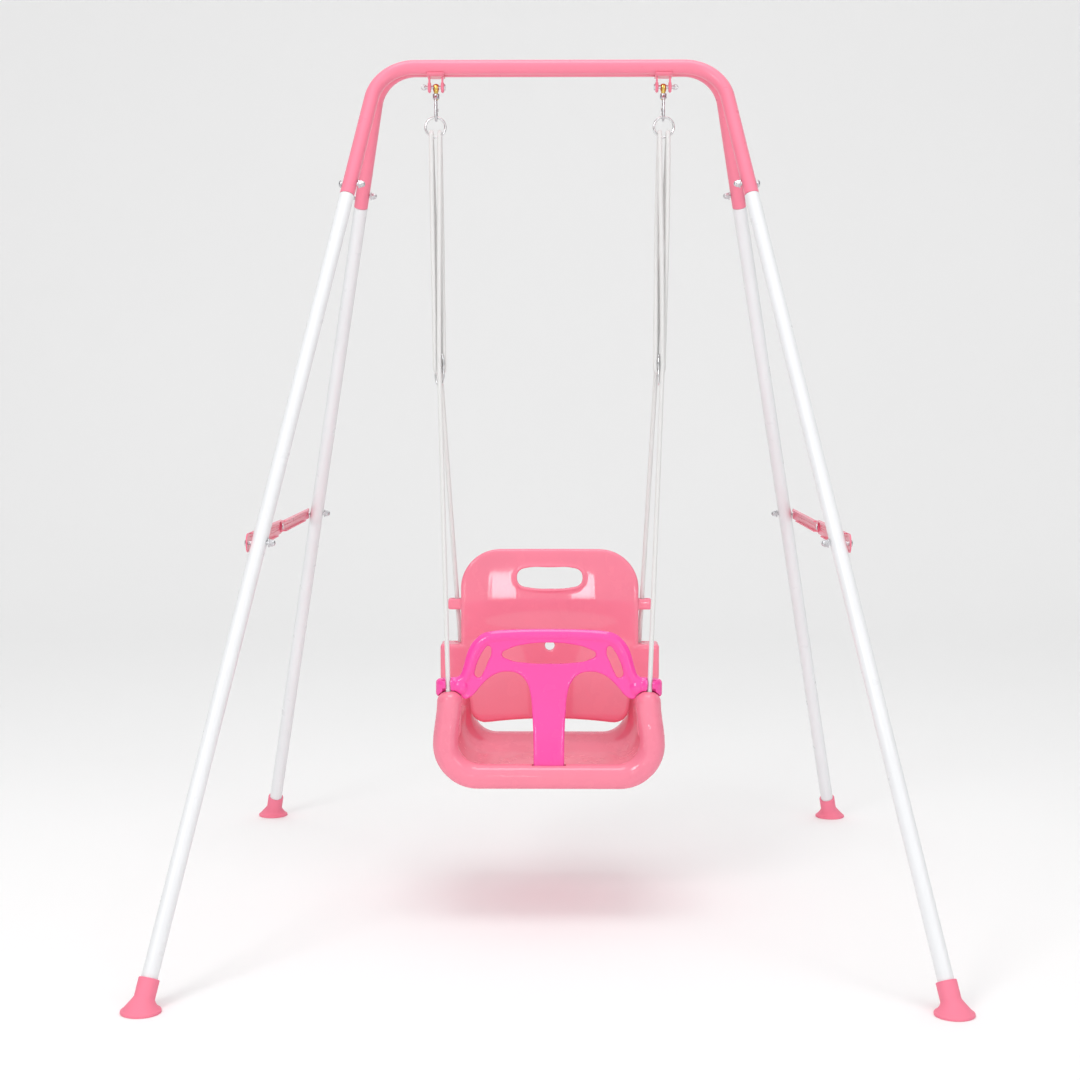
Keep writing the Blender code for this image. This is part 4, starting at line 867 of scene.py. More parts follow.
def link_mesh(side, ends, heights, web, grooves, flanges):
    """A pressed channel: a strip with round ends, edges folded inward and grooves along its inner face."""
    start, finish = ends
    along = (finish - start).normalized()
    upward = Vector((0.0, -along.z, along.y))
    x0 = side * (leg_x(BRACE_BOLT) + web)
    x1 = x0 + side * LINK_T
    span = (finish - start).length

    def place(x, run, level):
        """A point of the strip: run from start to finish, level from -1 to 1 across it."""
        half = (heights[0] + (heights[1] - heights[0]) * run / span) / 2
        point = start + along * run + upward * half * level
        return Vector((x, point.y, point.z))

    outline = []
    for centre, heading, radius in ((finish, along, heights[1] / 2), (start, -along, heights[0] / 2)):
        rise = upward if heading is along else -upward
        for a, b in arc((0.0, 0.0), (1.0, 1.0), 0.0, math.pi, 24):
            outline.append(centre + (rise * a + heading * b) * radius)
    strip = loft([[Vector((x, p.y, p.z)) for p in outline] for x in (x0, x1)])
    steps = []
    for after_start, before_end, level in flanges:
        inner = x1 - side * FLANGE_W
        buried = x0 + side * LINK_T / 2
        thick = upward * LINK_T * -level
        corners = []
        for y in (start.y + after_start, finish.y - before_end):
            run = (y - start.y) / along.y
            edge_in, edge_out = (place(x, run, level * FLANGE_LEVEL) for x in (inner, buried))
            corners.append([edge_in, edge_out, edge_out + thick, edge_in + thick])
        steps.append(grow(loft(corners)))
    for near, far in grooves:
        line = [place(x0, GROOVE_FROM, near), place(x0, span - GROOVE_FROM, far)]
        steps.append(cut(sweep(line, GROOVE_R, 12)))
    for hole in ends:
        steps.append(drill(Vector((x0, hole.y, hole.z)), ACROSS * DRILL_REACH, LINK_HOLE_R, 24))
    return shaped(strip, steps)


for side_name, side in SIDES:
    front = leg_point(-1.0, side, BRACE_BOLT)
    rear = leg_point(1.0, side, BRACE_BOLT)
    screw = bolt_mesh(front, side, FRONT_WEB + LINK_T + GAP, NUT_REACH)
    piece(f"{side_name}_brace_screw", screw, "zinc", "frame_front", [f"{side_name}_brace_front_bolt"])
    piece(f"{side_name}_brace_front_acorn", nut_mesh(front, side, TUBE_CLEAR), "zinc", "frame_front",
          [f"{side_name}_brace_front_nut"])
    piece(f"{side_name}_brace_rear_acorn", nut_mesh(rear, side, TUBE_CLEAR), "zinc", "frame_rear",
          [f"{side_name}_brace_rear_nut"])
    middle = (front + rear) / 2
    # Both links take the darker copy of the pink coat, which is painted shade.
    front_link = link_mesh(side, (front, middle), FRONT_LINK_H, FRONT_WEB, FRONT_GROOVES, FRONT_FLANGES)
    piece(f"{side_name}_grooved_link", front_link, "link", f"{side_name}_brace_front",
          [f"{side_name}_brace_front_link"], sharp=14.0)
    rear_link = link_mesh(side, (middle, rear), REAR_LINK_H, REAR_WEB, REAR_GROOVES, REAR_FLANGES)
    piece(f"{side_name}_channel_link", rear_link, "link", f"{side_name}_brace_rear",
          [f"{side_name}_brace_rear_link"], sharp=14.0)
    for kept in ("rear_stub", "rear_stud", "rivet"):
        keep(f"{side_name}_brace_{kept}", "zinc", 0.0003)


# Hangers

def pin_point(side, x=0.0):
    return Vector((side * HANGER_X + x, 0.0, PIN_Z))


def saddle_mesh(side):
    """A folded sheet that hugs both bars from below, with two ears and their bosses for the pin."""
    inner_r = TUBE_R + GAP

    def line(radius):
        radii = (radius, radius)
        front = arc((-BAR_HALF_SPACING, BAR_Z), radii, 3 * QUARTER - SADDLE_LIP, 3 * QUARTER, 18)
        return front + arc((BAR_HALF_SPACING, BAR_Z), radii, -QUARTER, SADDLE_BACK, 18)

    def strip(x):
        return [Vector((x, y, z)) for y, z in line(inner_r) + line(inner_r + SHEET)[::-1]]

    def ear(x0, x1):
        top = BAR_Z - TUBE_R - GAP - SHEET / 2
        tip = arc((0.0, PIN_Z), (EAR_HALF, EAR_HALF), 0.0, -math.pi, 24)
        outline = [(EAR_HALF, top), *tip, (-EAR_HALF, top)]
        return loft([[Vector((x, y, z)) for y, z in outline] for x in (x0, x1)])

    centre = side * HANGER_X
    body = loft([strip(centre - SADDLE_HALF), strip(centre + SADDLE_HALF)])
    steps = []
    for way in (-1, 1):
        middle = centre + way * EAR_X
        steps.append(grow(ear(middle - SHEET / 2, middle + SHEET / 2)))
        boss = [(middle - BOSS_T / 2, 0.0, PIN_Z), (middle + BOSS_T / 2, 0.0, PIN_Z)]
        steps.append(grow(rod(*boss, BOSS_R, 40)))
    steps.append(drill(pin_point(side), ACROSS * DRILL_REACH, PIN_R + GAP, 24))
    return shaped(body, steps)


def pin_mesh(side, cross):
    """A headed pin with a small hole across its tip."""
    tip = 2 * PIN_SHANK
    profile = [(-0.0030, 0.0), (-0.0030, 0.0043), (-0.0027, 0.0047), (-0.0003, 0.0050), (0.0, 0.0048),
               (0.0, PIN_R), (tip + 0.0055, PIN_R), (tip + 0.0065, PIN_R * 0.7), (tip + 0.0065, 0.0)]
    blank = lathe(profile, pin_point(side, -side * PIN_SHANK), (side, 0.0, 0.0), 32)
    return shaped(blank, [drill(cross, UP * 0.006, PIN_HOLE_R, 16)])


def eye_mesh(side):
    """A brass eye: a foot flange, a neck and a pear-shaped head that the pin passes through."""
    pear = [(0.0, 0.0), (0.0, 0.0028), (0.0003, 0.0032), (0.0009, 0.0034), (EYE_FLANGE_T, 0.0032),
            (EYE_FLANGE_T, EYE_NECK_R), (EYE_NECK_TOP, EYE_NECK_R), (EYE_NECK_TOP, 0.0030),
            (0.0112, 0.0034), (0.0130, 0.0038), (0.0150, 0.0043), (0.0168, 0.0047), (0.0190, EYE_R),
            (0.0209, 0.0048), (0.0225, 0.0045), (0.0236, 0.0037), (0.0242, 0.0028), (0.0246, 0.0015),
            (0.0247, 0.0)]
    blank = lathe(pear, (side * HANGER_X, 0.0, EYE_FOOT), UP, 36)
    return shaped(blank, [drill(pin_point(side), ACROSS * 0.01, PIN_R + GAP, 24)])


def hook_mesh(side):
    """A snap hook: a collar round the eye's neck, a bent bar, and a lug that the gate turns on."""
    collar = [(COLLAR_LOW, 0.0023), (COLLAR_LOW, 0.0044), (COLLAR_LOW + 0.0004, 0.0049),
              (COLLAR_LOW + 0.001, 0.0052), (COLLAR_HIGH - 0.001, 0.0052), (COLLAR_HIGH - 0.0003, 0.0049),
              (COLLAR_HIGH, 0.0043), (COLLAR_HIGH, 0.0023)]
    neck = lathe(collar, (side * HANGER_X, 0.0, 0.0), UP, 36, closed=True)
    path = [(-0.0038, (COLLAR_LOW + COLLAR_HIGH) / 2), (-0.0056, COLLAR_LOW + 0.0020),
            (-0.0068, COLLAR_LOW + 0.0006), (-0.0080, COLLAR_LOW - 0.0014),
            (-HOOK_HALF, COLLAR_LOW - 0.0034), (-HOOK_HALF, HOOK_CENTRE + 0.004)]
    path += arc((0.0, HOOK_CENTRE), (HOOK_HALF, HOOK_HALF - HOOK_X), math.pi, 2 * math.pi, 24)
    path.append((HOOK_HALF, HOOK_CENTRE + HOOK_NOSE))
    bar = sweep([(side * HANGER_X, y, z) for y, z in path], HOOK_X, 20)
    lug = box((side * HANGER_X - HOOK_X, 0.0036, COLLAR_LOW + 0.0020),
              (side * HANGER_X + HOOK_X, 0.0064, COLLAR_HIGH - 0.0004), 0.0005, 2)
    return together(neck, bar, lug)


def gate_mesh(side):
    """The hook's gate: a round arm from its pivot down to the nose, with a small cross knob."""
    low = HOOK_CENTRE + HOOK_NOSE + GAP
    arm = rod((side * HANGER_X, HOOK_HALF, low + 0.0003), (side * HANGER_X, HOOK_HALF, COLLAR_LOW + 0.0022),
              GATE_R, 20)
    knob = lathe([(-0.0030, 0.0), (-0.0030, 0.0022), (-0.0024, 0.0027), (0.0024, 0.0027),
                  (0.0030, 0.0022), (0.0030, 0.0)], (side * HANGER_X, HOOK_HALF, low + 0.0035), ACROSS, 24)
    return together(arm, knob)


def adjuster_mesh(side_name, side):
    """A wire bent to a figure of eight, with a bar across its waist."""
    turn = ADJUSTER_TURN[side_name] * side
    facing = Matrix.Translation((side * ADJUSTER_X, 0.0, ADJUSTER_Z)) @ Matrix.Rotation(turn, 4, "Z")
    loop = []
    for t in full_turn(120):
        z = ADJUSTER_LOOP * math.sin(t)
        waist = 1 - ADJUSTER_WAIST * math.exp(-((z / ADJUSTER_WAIST_H) ** 2))
        x = ADJUSTER_HALF_W * math.copysign(abs(math.cos(t)) ** 0.6, math.cos(t)) * waist
        loop.append(facing @ Vector((x, 0.0, z)))
    reach = ADJUSTER_HALF_W * (1 - ADJUSTER_WAIST)
    bar_ends = [facing @ Vector((way * reach, 0.0, 0.0)) for way in (-1, 1)]
    return together(sweep(loop, ADJUSTER_WIRE, 16, cyclic=True), rod(*bar_ends, ADJUSTER_WIRE * 0.95, 16))


for side_name, side in SIDES:
    piece(f"{side_name}_bar_saddle", saddle_mesh(side), "coat", "frame_front", [f"{side_name}_saddle"],
          soften=0.0004)
    cross = pin_point(side, side * (PIN_SHANK + 0.0032))
    piece(f"{side_name}_clevis_pin", pin_mesh(side, cross), "zinc", "frame_front",
          [f"{side_name}_hanger_pin"])
    loop = circle(cross + ACROSS * side * (PIN_RING_R - 0.0003), ACROSS, UP, PIN_RING_R, 48)
    piece(f"{side_name}_split_ring", sweep(loop, PIN_RING_WIRE, 12, cyclic=True), "zinc", "frame_front",
          [f"{side_name}_pin_ring"])
    piece(f"{side_name}_brass_eye", eye_mesh(side), "brass", "swing", [f"{side_name}_swivel_eye"])
    piece(f"{side_name}_spring_hook", hook_mesh(side), "zinc", "swing", [f"{side_name}_snap_hook"])
    piece(f"{side_name}_hook_gate", gate_mesh(side), "zinc", f"{side_name}_gate", [f"{side_name}_gate"])
    loop = circle(Vector((side * RING_X, 0.0, RING_Z)), ACROSS, UP, RING_R, 72)
    piece(f"{side_name}_wire_ring", sweep(loop, RING_WIRE, 20, cyclic=True), "bright", "swing",
          [f"{side_name}_ring"])
    piece(f"{side_name}_wire_adjuster", adjuster_mesh(side_name, side), "bright", "swing",
          [f"{side_name}_adjuster"])


# Seat base

def tub_section(y, inset):
    """The base's outline across x at one depth: outer wall, rounded rim, inner wall and floor."""
    top = flow([(RAIL_Y, POST_TOP), (-0.119, POST_TOP - 0.002), (-0.1128, 0.339), (-0.1110, 0.303),
                (-0.095, 0.296), (0.0, SIDE_RIM), (0.080, 0.294), (0.097, 0.302), (0.1040, 0.356),
                (0.108, 0.374), (0.116, 0.379), (0.122, REAR_POST_TOP), (0.134, 0.377),
                (0.140, 0.368)], y) - inset * 0.8
    half_out = flow([(0.0, BASE_HALF), (0.100, 0.1735), (0.140, 0.1700)], y) - inset
    bottom = flow([(0.0, BASE_BOTTOM), (0.060, 0.2020), (0.095, 0.2090), (0.125, 0.2230),
                   (0.140, 0.2310)], y) + inset
    round_out = flow([(0.0, 0.068), (0.140, 0.060)], y) - inset
    half_in = flow([(RAIL_Y, 0.1365), (-0.113, 0.1385), (-0.090, 0.1445), (0.0, 0.1480),
                    (0.060, 0.1450), (0.095, 0.1370), (0.1040, 0.1270), (0.115, 0.1245)], y) + inset
    floor = flow([(RAIL_Y, RAIL_TOP), (-0.120, 0.2350), (-0.100, 0.2220), (-0.070, 0.2155),
                  (0.0, 0.2145), (0.060, 0.2165), (0.100, 0.2290), (0.125, 0.2385),
                  (0.135, REAR_RIM)], y) - inset
    round_in = flow([(RAIL_Y, 0.034), (-0.080, 0.044), (0.060, 0.046), (0.110, 0.038)], y) + inset * 0.6
    lean_out = flow([(RAIL_Y, 0.0065), (-0.112, 0.0065), (-0.100, 0.0020), (0.090, 0.0020),
                     (0.1040, 0.0100), (0.125, 0.0080)], y)
    lean_in = flow([(RAIL_Y, 0.0065), (-0.112, 0.0060), (-0.100, 0.0010), (0.090, 0.0010),
                    (0.1040, -0.0020), (0.125, -0.0020)], y)
    wall = half_out - lean_out - (half_in - lean_in)
    dome = min(wall * 0.46, 0.016)
    out = [(0.0, bottom)]
    out += [((half_out - round_out) * t, bottom) for t in (0.25, 0.5, 0.75)]
    out += arc((half_out - round_out, bottom + round_out), (round_out, round_out), -QUARTER, 0.0, 22)
    shoulder = top - dome
    rise = shoulder - bottom - round_out
    middle = (half_out - lean_out + half_in - lean_in) / 2
    for t in (0.2, 0.4, 0.6, 0.8):
        out.append((half_out + (middle + wall / 2 - half_out) * ease(t), bottom + round_out + rise * t))
    out += arc((middle, shoulder), (wall / 2, dome), 0.0, 2 * QUARTER, 20)
    low = floor + round_in
    for t in (0.2, 0.4, 0.6, 0.8):
        out.append((middle - wall / 2 + (half_in - middle + wall / 2) * ease(t),
                    shoulder + (low - shoulder) * t))
    out += arc((half_in - round_in, low), (round_in, round_in), -QUARTER, 0.0, 22)[::-1]
    out += [((half_in - round_in) * t, floor) for t in (0.75, 0.5, 0.25)]
    out.append((0.0, floor))
    right = [Vector((x, y, z)) for x, z in out]
    left = [Vector((-x, y, z)) for x, z in out[1:-1]]
    return right + left[::-1]


def seat_mesh():
    """Sections from the rolled front rail back, close together where posts rise, then pockets and bores."""
    rings = []
    for i in range(12):
        turn = math.radians(72 - 6 * i)
        ring = tub_section(RAIL_Y - RAIL_R * math.sin(turn), RAIL_R * 0.92 * (1 - math.cos(turn)))
        rings.append([Vector((p.x, max(p.y, RAIL_Y - RAIL_R), p.z)) for p in ring])
    stations = [RAIL_Y + 0.002 * i for i in range(9)]
    stations += [-0.1135, -0.1128, -0.1121, -0.1115, -0.1110, -0.108, -0.104, -0.100]
    stations += [-0.095 + 0.0125 * i for i in range(14)]
    stations += [0.076, 0.083, 0.089, 0.093, 0.096, 0.098, 0.0995, 0.101, 0.1022, 0.1033, 0.1045, 0.106,
                 0.108, 0.111, 0.114, 0.118, 0.122, 0.126, 0.130, 0.134, 0.137, REAR_END]
    rings += [tub_section(y, 0.0) for y in stations]
    for i in range(1, 6):
        turn = QUARTER * i / 6
        rings.append(tub_section(REAR_END + REAR_EDGE * math.sin(turn), REAR_EDGE * (1 - math.cos(turn))))
    steps = []
    for _, side in SIDES:
        for hole, pocket_top in ((FRONT_HOLE, FRONT_POCKET_TOP), (REAR_HOLE, REAR_POCKET_TOP)):
            centre = Vector((side * hole.x, hole.y, 0.0))
            pocket = rod(UP * 0.190, UP * pocket_top, KNOT_POCKET_R, 36)
            inward = math.copysign(KNOT_POCKET_BACK, -hole.y)
            pocket.transform(Matrix.Translation(centre + Vector((0.0, inward, 0.0)))
                             @ Matrix.Diagonal((1.0, KNOT_POCKET_DEEP / KNOT_POCKET_R, 1.0, 1.0)))
            steps.append(cut(pocket))
            steps.append(cut(rod(centre + UP * (pocket_top - 0.001), centre + UP * 0.40, ROPE_BORE_R, 32)))
    slot = box((-STEM_HALF - SLOT_CLEAR, GUARD_Y - SLOT_AHEAD, GUARD_FOOT - SLOT_UNDER),
               (STEM_HALF + SLOT_CLEAR, GUARD_Y + SLOT_BEHIND, SLOT_TOP))
    steps.append(cut(slot))
    return shaped(loft(rings), steps)


piece("seat_tub", seat_mesh(), "moulded", "swing", ["seat_base"], sharp=32.0)


# Guard

def mirrored_outline(half):
    return half + [(-point[0], *point[1:]) for point in reversed(half) if point[0] > 0]


def plate(outlines, half_thickness, bevel, matrix, bevel_steps):
    """A flat piece with rounded edges, from closed smooth outlines."""
    curve = bpy.data.curves.new("plate", "CURVE")
    curve.dimensions = "2D"
    curve.fill_mode = "BOTH"
    curve.extrude = half_thickness - bevel
    curve.bevel_depth = bevel
    curve.bevel_resolution = bevel_steps
    curve.offset = -bevel
    curve.resolution_u = 12
    for points in outlines:
        spline = curve.splines.new("BEZIER")
        spline.bezier_points.add(len(points) - 1)
        for slot, point in zip(spline.bezier_points, points):
            slot.co = (point[0], point[1], 0.0)
            handle = "VECTOR" if len(point) > 2 else "AUTO"
            slot.handle_left_type = handle
            slot.handle_right_type = handle
        spline.use_cyclic_u = True
    obj = bpy.data.objects.new("plate", curve)
    bpy.context.scene.collection.objects.link(obj)
    bpy.context.view_layer.update()
    graph = bpy.context.evaluated_depsgraph_get()
    made = bpy.data.meshes.new_from_object(obj.evaluated_get(graph))
    made.transform(matrix)
    bpy.data.objects.remove(obj)
    build = bmesh.new()
    build.from_mesh(made)
    bmesh.ops.remove_doubles(build, verts=build.verts[:], dist=0.00001)
    return mesh_of(build)


def rope_at(side, hole, z):
    """The middle of the single rope strand above a hole, at one height."""
    end = -1.0 if hole.y < 0 else 1.0
    top = Vector((side * ADJUSTER_X, end * 0.005, ADJUSTER_Z))
    start = Vector((side * hole.x, hole.y, hole.z))
    return start.lerp(top, (z - start.z) / (top.z - start.z))


def rope_notch(side, hole, run, clear, low, high, mouth=0.0, ahead=0.0):
    """Cutters for an oval hole that follows the rope and runs on outward, and for a mouth in front of it."""
    ovals = []
    throats = []
    for z in (low, high):
        near = rope_at(side, hole, z)
        outline = []
        for x, base in ((near.x + side * run, -QUARTER), (near.x, QUARTER)):
            outline += arc((x, near.y), (side * clear, clear), base, base + math.pi, 14)
        ovals.append([Vector((x, y, z)) for x, y in outline])
        throat = ((-1, -ahead), (1, -ahead), (1, 0.0), (-1, 0.0))
        throats.append([Vector((near.x + way * mouth / 2, near.y + y, z)) for way, y in throat])
    return [loft(ovals)] + ([loft(throats)] if mouth else [])


def moulded_together(mesh, voxel, rounds):
    """Melts joined forms into one moulding: a fine even skin, then smoothing that fillets the joins."""
    return shaped(mesh, [
        ("REMESH", {"mode": "VOXEL", "voxel_size": voxel, "adaptivity": 0.0}),
        ("SMOOTH", {"factor": 0.5, "iterations": rounds}),
    ])


def guard_mesh():
    """A leaning web with a lens and two side windows, a tubular hoop, round shoulders and two caps."""
    body = [
        (0.0, GUARD_TOP), (0.055, GUARD_TOP - 0.001), (0.083, GUARD_TOP - 0.003),
        (0.0995, 0.4335), (0.1100, 0.4255), (0.1190, 0.4135), (0.1245, 0.3995), (0.1290, 0.3830),
        (0.1350, 0.3700), (0.1500, 0.3655), (0.1500, 0.3430, 1), (0.1340, 0.3390), (0.1260, 0.3355),
        (0.1170, 0.3390), (0.1045, 0.3525), (0.0935, 0.3640), (0.0790, 0.3733), (0.0615, 0.3765),
        (0.0440, 0.3720), (0.0335, 0.3600), (0.0280, 0.3430), (0.0252, 0.3150), (0.0234, 0.2780),
        (STEM_HALF, STEM_LEVEL, 1), (STEM_HALF, GUARD_FOOT, 1),
    ]
    stretch = 1.0 / math.cos(GUARD_TILT)
    stand = (Matrix.Translation((0.0, GUARD_Y, STEM_LEVEL))
             @ Matrix.Rotation(QUARTER - GUARD_TILT, 4, "X"))

    def flat(points):
        return [(p[0], (p[1] - STEM_LEVEL) * stretch, *p[2:]) for p in points]

    lens = [(0.0, 0.4200), (0.0365, 0.4172), (0.0590, 0.4110), (0.0705, 0.4022), (0.0603, 0.3944),
            (0.0340, 0.3896), (0.0, 0.3884)]
    window = [(0.0905, 0.4150), (0.0983, 0.4081), (0.1050, 0.3960), (0.1105, 0.3810), (0.1110, 0.3705),
              (0.1050, 0.3675), (0.0984, 0.3763), (0.0920, 0.3910), (0.0868, 0.4050)]
    outlines = [flat(mirrored_outline(body)), flat(mirrored_outline(lens))]
    for _, side in SIDES:
        outlines.append(flat([(side * x, z) for x, z in window]))
    web = plate(outlines, GUARD_HALF_T, GUARD_EDGE, stand, 4)
    hoop = [(0.0, 0.4318), (0.030, 0.4316), (0.056, 0.4306), (0.078, 0.4290), (0.0905, 0.4263),
            (0.1010, 0.4205), (0.1085, 0.4115), (0.1140, 0.4003), (0.1180, 0.3875), (0.1215, 0.3760),
            (0.1265, 0.3665), (0.1350, 0.3605), (0.1450, 0.3580)]
    points = [(-x, z) for x, z in hoop[:0:-1]] + hoop
    lean = math.tan(GUARD_TILT)
    rail = rounded([Vector((x, GUARD_Y + (z - STEM_LEVEL) * lean, z)) for x, z in points], 6)
    steps = [grow(sweep(rail, GUARD_TUBE_R, 28))]
    rise = CAP_TOP - CAP_BOTTOM
    edge = (CAP_EDGE, CAP_EDGE)
    cap = [(0.0, 0.0), *arc((CAP_EDGE, CAP_R - CAP_EDGE), edge, math.pi, QUARTER, 6),
           *arc((rise - CAP_EDGE, CAP_R - CAP_EDGE), edge, QUARTER, 0.0, 6), (rise, 0.0)]
    for _, side in SIDES:
        steps.append(grow(ball((side * SHOULDER.x, SHOULDER.y, SHOULDER.z), SHOULDER_R, (1.0, 0.75, 1.0))))
        steps.append(grow(lathe(cap, (side * FRONT_HOLE.x, CAP_Y, CAP_BOTTOM), UP, 48)))
        hole = Vector((side * FRONT_HOLE.x, FRONT_HOLE.y, 0.0))
        steps.append(cut(rod(hole + UP * CAP_BORE_LOW, hole + UP * CAP_BORE_HIGH, CAP_BORE_R, 30)))
    seat_and_gap = shaped(seat_mesh(), [("DISPLACE", {"strength": SEAT_GAP, "mid_level": 0.0})])
    steps.append(cut(seat_and_gap))
    for _, side in SIDES:
        for cutter in rope_notch(side, FRONT_HOLE, run=0.0050, clear=0.0047, low=0.330, high=0.380,
                                 mouth=0.0068, ahead=0.015):
            steps.append(cut(cutter))
    return moulded_together(shaped(web, steps), 0.0010, 7)


piece("guard_moulding", guard_mesh(), "guard", "guard", ["guard"])


# Backrest

def back_half(z):
    """Half the panel's width at one height."""
    if z < BACK_BOTTOM + BACK_LOW_CORNER:
        t = (BACK_BOTTOM + BACK_LOW_CORNER - z) / BACK_LOW_CORNER
        return BACK_LOW_HALF + BACK_LOW_ROUND * math.sqrt(max(1 - t * t, 0.0))
    if z > BACK_TOP - BACK_CORNER:
        t = (z - BACK_TOP + BACK_CORNER) / BACK_CORNER
        return BACK_HALF - BACK_CORNER + BACK_CORNER * math.sqrt(max(1 - t * t, 0.0))
    return flow([(BACK_SIDE_FROM, 0.1285), (0.330, 0.1345), (0.395, BACK_HALF)], z, level=True)


def back_face(x, z):
    return BACK_Y - BACK_WRAP * (abs(x) / BACK_HALF) ** 2


def bottom_arch(x, z):
    """How far the lower edge is raised. It fades out up the panel and towards its corners."""
    across = max(1.0 - (x / BACK_ARCH_HALF) ** 2, 0.0)
    upward = max(1.0 - (z - BACK_BOTTOM) / BACK_ARCH_FADE, 0.0)
    return BACK_ARCH * across * upward


def back_outline():
    """The levels up the panel's sides, the columns across it, and the rim that joins them."""
    levels = [BACK_BOTTOM + BACK_LOW_CORNER * (1 - math.cos(QUARTER * i / 12)) for i in range(13)]
    levels += [BACK_SIDE_FROM + (BACK_TOP - BACK_CORNER - BACK_SIDE_FROM) * i / 24 for i in range(1, 24)]
    levels += [BACK_TOP - BACK_CORNER + BACK_CORNER * math.sin(QUARTER * i / 20) for i in range(21)]
    columns = 30
    rim = [(back_half(levels[0]) * (2 * j / columns - 1), levels[0]) for j in range(columns)]
    rim += [(back_half(z), z) for z in levels[:-1]]
    rim += [(back_half(levels[-1]) * (1 - 2 * j / columns), levels[-1]) for j in range(columns)]
    rim += [(-back_half(z), z) for z in levels[:0:-1]]
    return levels, columns, rim


def back_panel():
    """The curved panel, with a half-round edge all the way round."""
    levels, columns, rim = back_outline()
    rows = len(levels)
    edge = BACK_T / 2

    def inset_rim(depth):
        made = []
        count = len(rim)
        for i, (x, z) in enumerate(rim):
            ax, az = rim[i - 1]
            bx, bz = rim[(i + 1) % count]
            tx, tz = bx - ax, bz - az
            size = math.hypot(tx, tz)
            made.append((x - tz / size * depth, z + tx / size * depth))
        return made

    build = bmesh.new()

    def ring_verts(depth, ahead):
        return [build.verts.new((x, back_face(x, z) + ahead, z)) for x, z in inset_rim(depth)]

    angles = [QUARTER - math.pi * i / 10 for i in range(11)]
    rings = [ring_verts(edge * (1 - math.cos(a)), -edge * math.sin(a)) for a in angles]
    for ring, after in zip(rings, rings[1:]):
        for i in range(len(ring)):
            j = (i + 1) % len(ring)
            build.faces.new((ring[i], ring[j], after[j], after[i]))
    for ring, ahead in ((rings[0], -edge), (rings[-1], edge)):
        grid = []
        for i in range(rows):
            right = ring[columns + i]
            left = ring[-i] if i else ring[0]
            if i == 0:
                grid.append(ring[:columns + 1])
                continue
            if i == rows - 1:
                grid.append(ring[columns + rows - 1:2 * columns + rows][::-1])
                continue
            row = [left]
            for j in range(1, columns):
                x = left.co.x + (right.co.x - left.co.x) * j / columns
                row.append(build.verts.new((x, back_face(x, left.co.z) + ahead, left.co.z)))
            grid.append(row + [right])
        for row, after in zip(grid, grid[1:]):
            for j in range(columns):
                build.faces.new((row[j], row[j + 1], after[j + 1], after[j]))
    for vert in build.verts:
        vert.co.z += bottom_arch(vert.co.x, vert.co.z)
    return mesh_of(build)


def lip_points(outline):
    """A line round an outline, outside it by the lip's radius."""
    dense = rounded([Vector(point) for point in outline], 8, cyclic=True)
    made = []
    for i, point in enumerate(dense):
        along = dense[(i + 1) % len(dense)] - dense[i - 1]
        normal = Vector((along.y, -along.x)).normalized()
        if normal.dot(point) < 0:
            normal = -normal
        made.append(point + normal * LIP_R)
    return made


def side_box(side, corners, bevel=0.0, segments=3):
    """A box between two corners that are given for the right-hand side."""
    (near, *low), (far, *high) = corners
    xs = sorted((side * near, side * far))
    return box((xs[0], *low), (xs[1], *high), bevel, segments)


def backrest_mesh():
    steps = []
    for _, side in SIDES:
        steps.append(grow(side_box(side, BACK_EAR, 0.0040, 4)))
        steps.append(grow(side_box(side, BACK_LUG, 0.0020, 3)))
    stand = Matrix.Translation((0.0, BACK_Y, HANDLE_Z)) @ Matrix.Rotation(QUARTER, 4, "X")
    half = [(0.0, 0.0178), (0.036, 0.0172), (0.0490, 0.0120), (0.0527, 0.0), (0.0480, -0.0105),
            (0.034, -0.0150), (0.0, -0.0172)]
    handle = mirrored_outline(half)
    lip_line = [stand @ Vector((x, y, 0.0)) for x, y in lip_points(handle)]
    for point in lip_line:
        point.y = back_face(point.x, point.z) - BACK_T / 2 + 0.0006
    steps.append(grow(sweep(lip_line, LIP_R, 16, cyclic=True)))
    steps.append(cut(plate([handle], 0.030, 0.0, stand, 0)))
    for _, side in SIDES:
        steps.append(cut(side_box(side, BACK_POST_ROOM)))
        for low, high in ((0.375, 0.400), (0.440, 0.470)):
            for cutter in rope_notch(side, REAR_HOLE, run=0.0056, clear=0.0048, low=low, high=high):
                steps.append(cut(cutter))
    hole = [(0.0, y, BACK_HOLE_Z) for y in (BACK_CUT_FROM, BACK_CUT_TO)]
    steps.append(cut(rod(*hole, BACK_HOLE_R, 48)))
    for _, side in SIDES:
        slot_x = side * BELT_SLOT_X
        steps.append(cut(box((slot_x - BELT_SLOT_HALF, BACK_CUT_FROM, BELT_SLOT_LOW),
                             (slot_x + BELT_SLOT_HALF, BACK_CUT_TO, BELT_SLOT_HIGH))))
    return moulded_together(shaped(back_panel(), steps), 0.0013, 6)


piece("backrest_moulding", backrest_mesh(), "moulded", "backrest", ["backrest"])


# Floor, backdrop and soft studio light

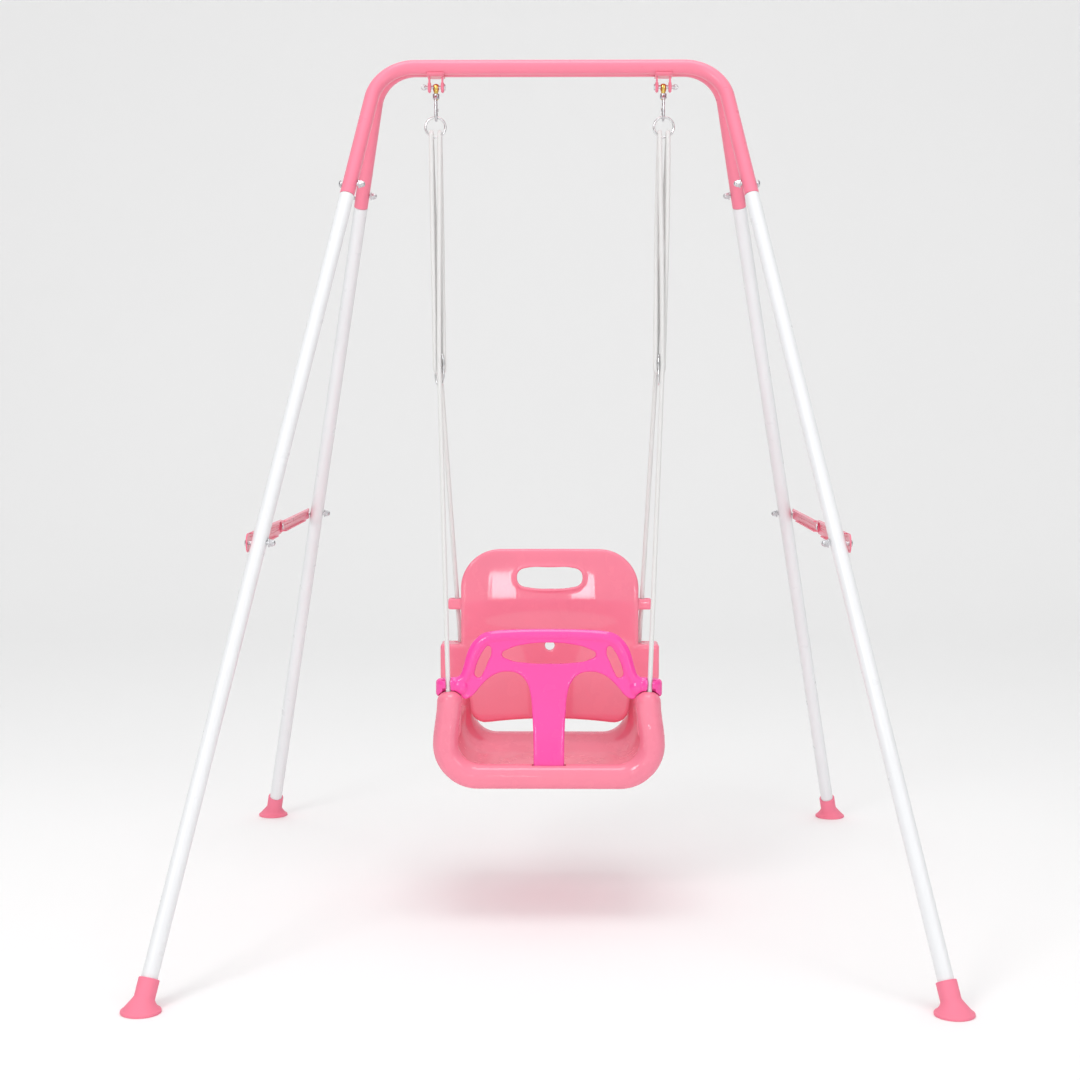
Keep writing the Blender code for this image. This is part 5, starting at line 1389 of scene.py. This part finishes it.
def stage_mesh():
    """A pale floor that curves up into a wall behind the swing."""
    half = 9.0
    front = -7.0
    wall_foot = 3.2
    cove = 1.6
    wall_top = 7.0
    curve = arc((wall_foot, cove), (cove, cove), -QUARTER, 0.0, 12)
    line = [(front, 0.0), *curve, (wall_foot + cove, wall_top)]
    build = bmesh.new()
    rows = [[build.verts.new((x, y, z)) for x in (-half, half)] for y, z in line]
    for row, after in zip(rows, rows[1:]):
        build.faces.new((row[0], row[1], after[1], after[0]))
    return mesh_of(build)


stage = bpy.data.objects.new("studio_floor", stage_mesh())
stage.data.materials.append(plain_floor("pale_floor"))
stage.data.shade_smooth()
bpy.context.scene.collection.objects.link(stage)


def studio_world():
    """An even white room that is dimmer to the left and the right, so that round forms show their sides."""
    made = Shader(bpy.data.worlds.new("studio"), "Background")
    split = made.node("ShaderNodeSeparateXYZ", {0: made.place.outputs["Generated"]})
    sideways = made.math("ABSOLUTE", split.outputs[0])
    made.link(made.spread(sideways, 0.98, 0.20, 0.35, 0.90), "Strength")
    made.set(Color=(1.0, 1.0, 1.0, 1.0))
    return made.owner


bpy.context.scene.world = studio_world()


def softbox(name, place, target, width, height, power):
    light = bpy.data.lights.new(name, "AREA")
    light.shape = "RECTANGLE"
    light.size = width
    light.size_y = height
    light.energy = power
    obj = bpy.data.objects.new(name, light)
    obj.location = place
    heading = Vector(target) - Vector(place)
    obj.rotation_euler = heading.to_track_quat("-Z", "Y").to_euler()
    bpy.context.scene.collection.objects.link(obj)


softbox("key_left", (-1.6, -2.9, 2.3), (0.0, 0.0, 0.6), 1.0, 1.0, 25.0)
softbox("fill_right", (2.2, -2.6, 1.6), (0.0, 0.0, 0.6), 0.8, 1.6, 9.0)
softbox("overhead", (0.0, -0.4, 3.2), (0.0, 0.0, 0.6), 1.6, 1.2, 18.0)
softbox("pane_right", (0.308, -3.2, 0.1475), (-0.075, 0.09, 0.485), 0.187, 0.085, 0.55)
softbox("pane_left", (-0.245, -3.2, 0.1440), (0.052, 0.09, 0.483), 0.163, 0.080, 0.50)

bpy.context.scene.view_settings.view_transform = "Standard"

bpy.context.view_layer.update()
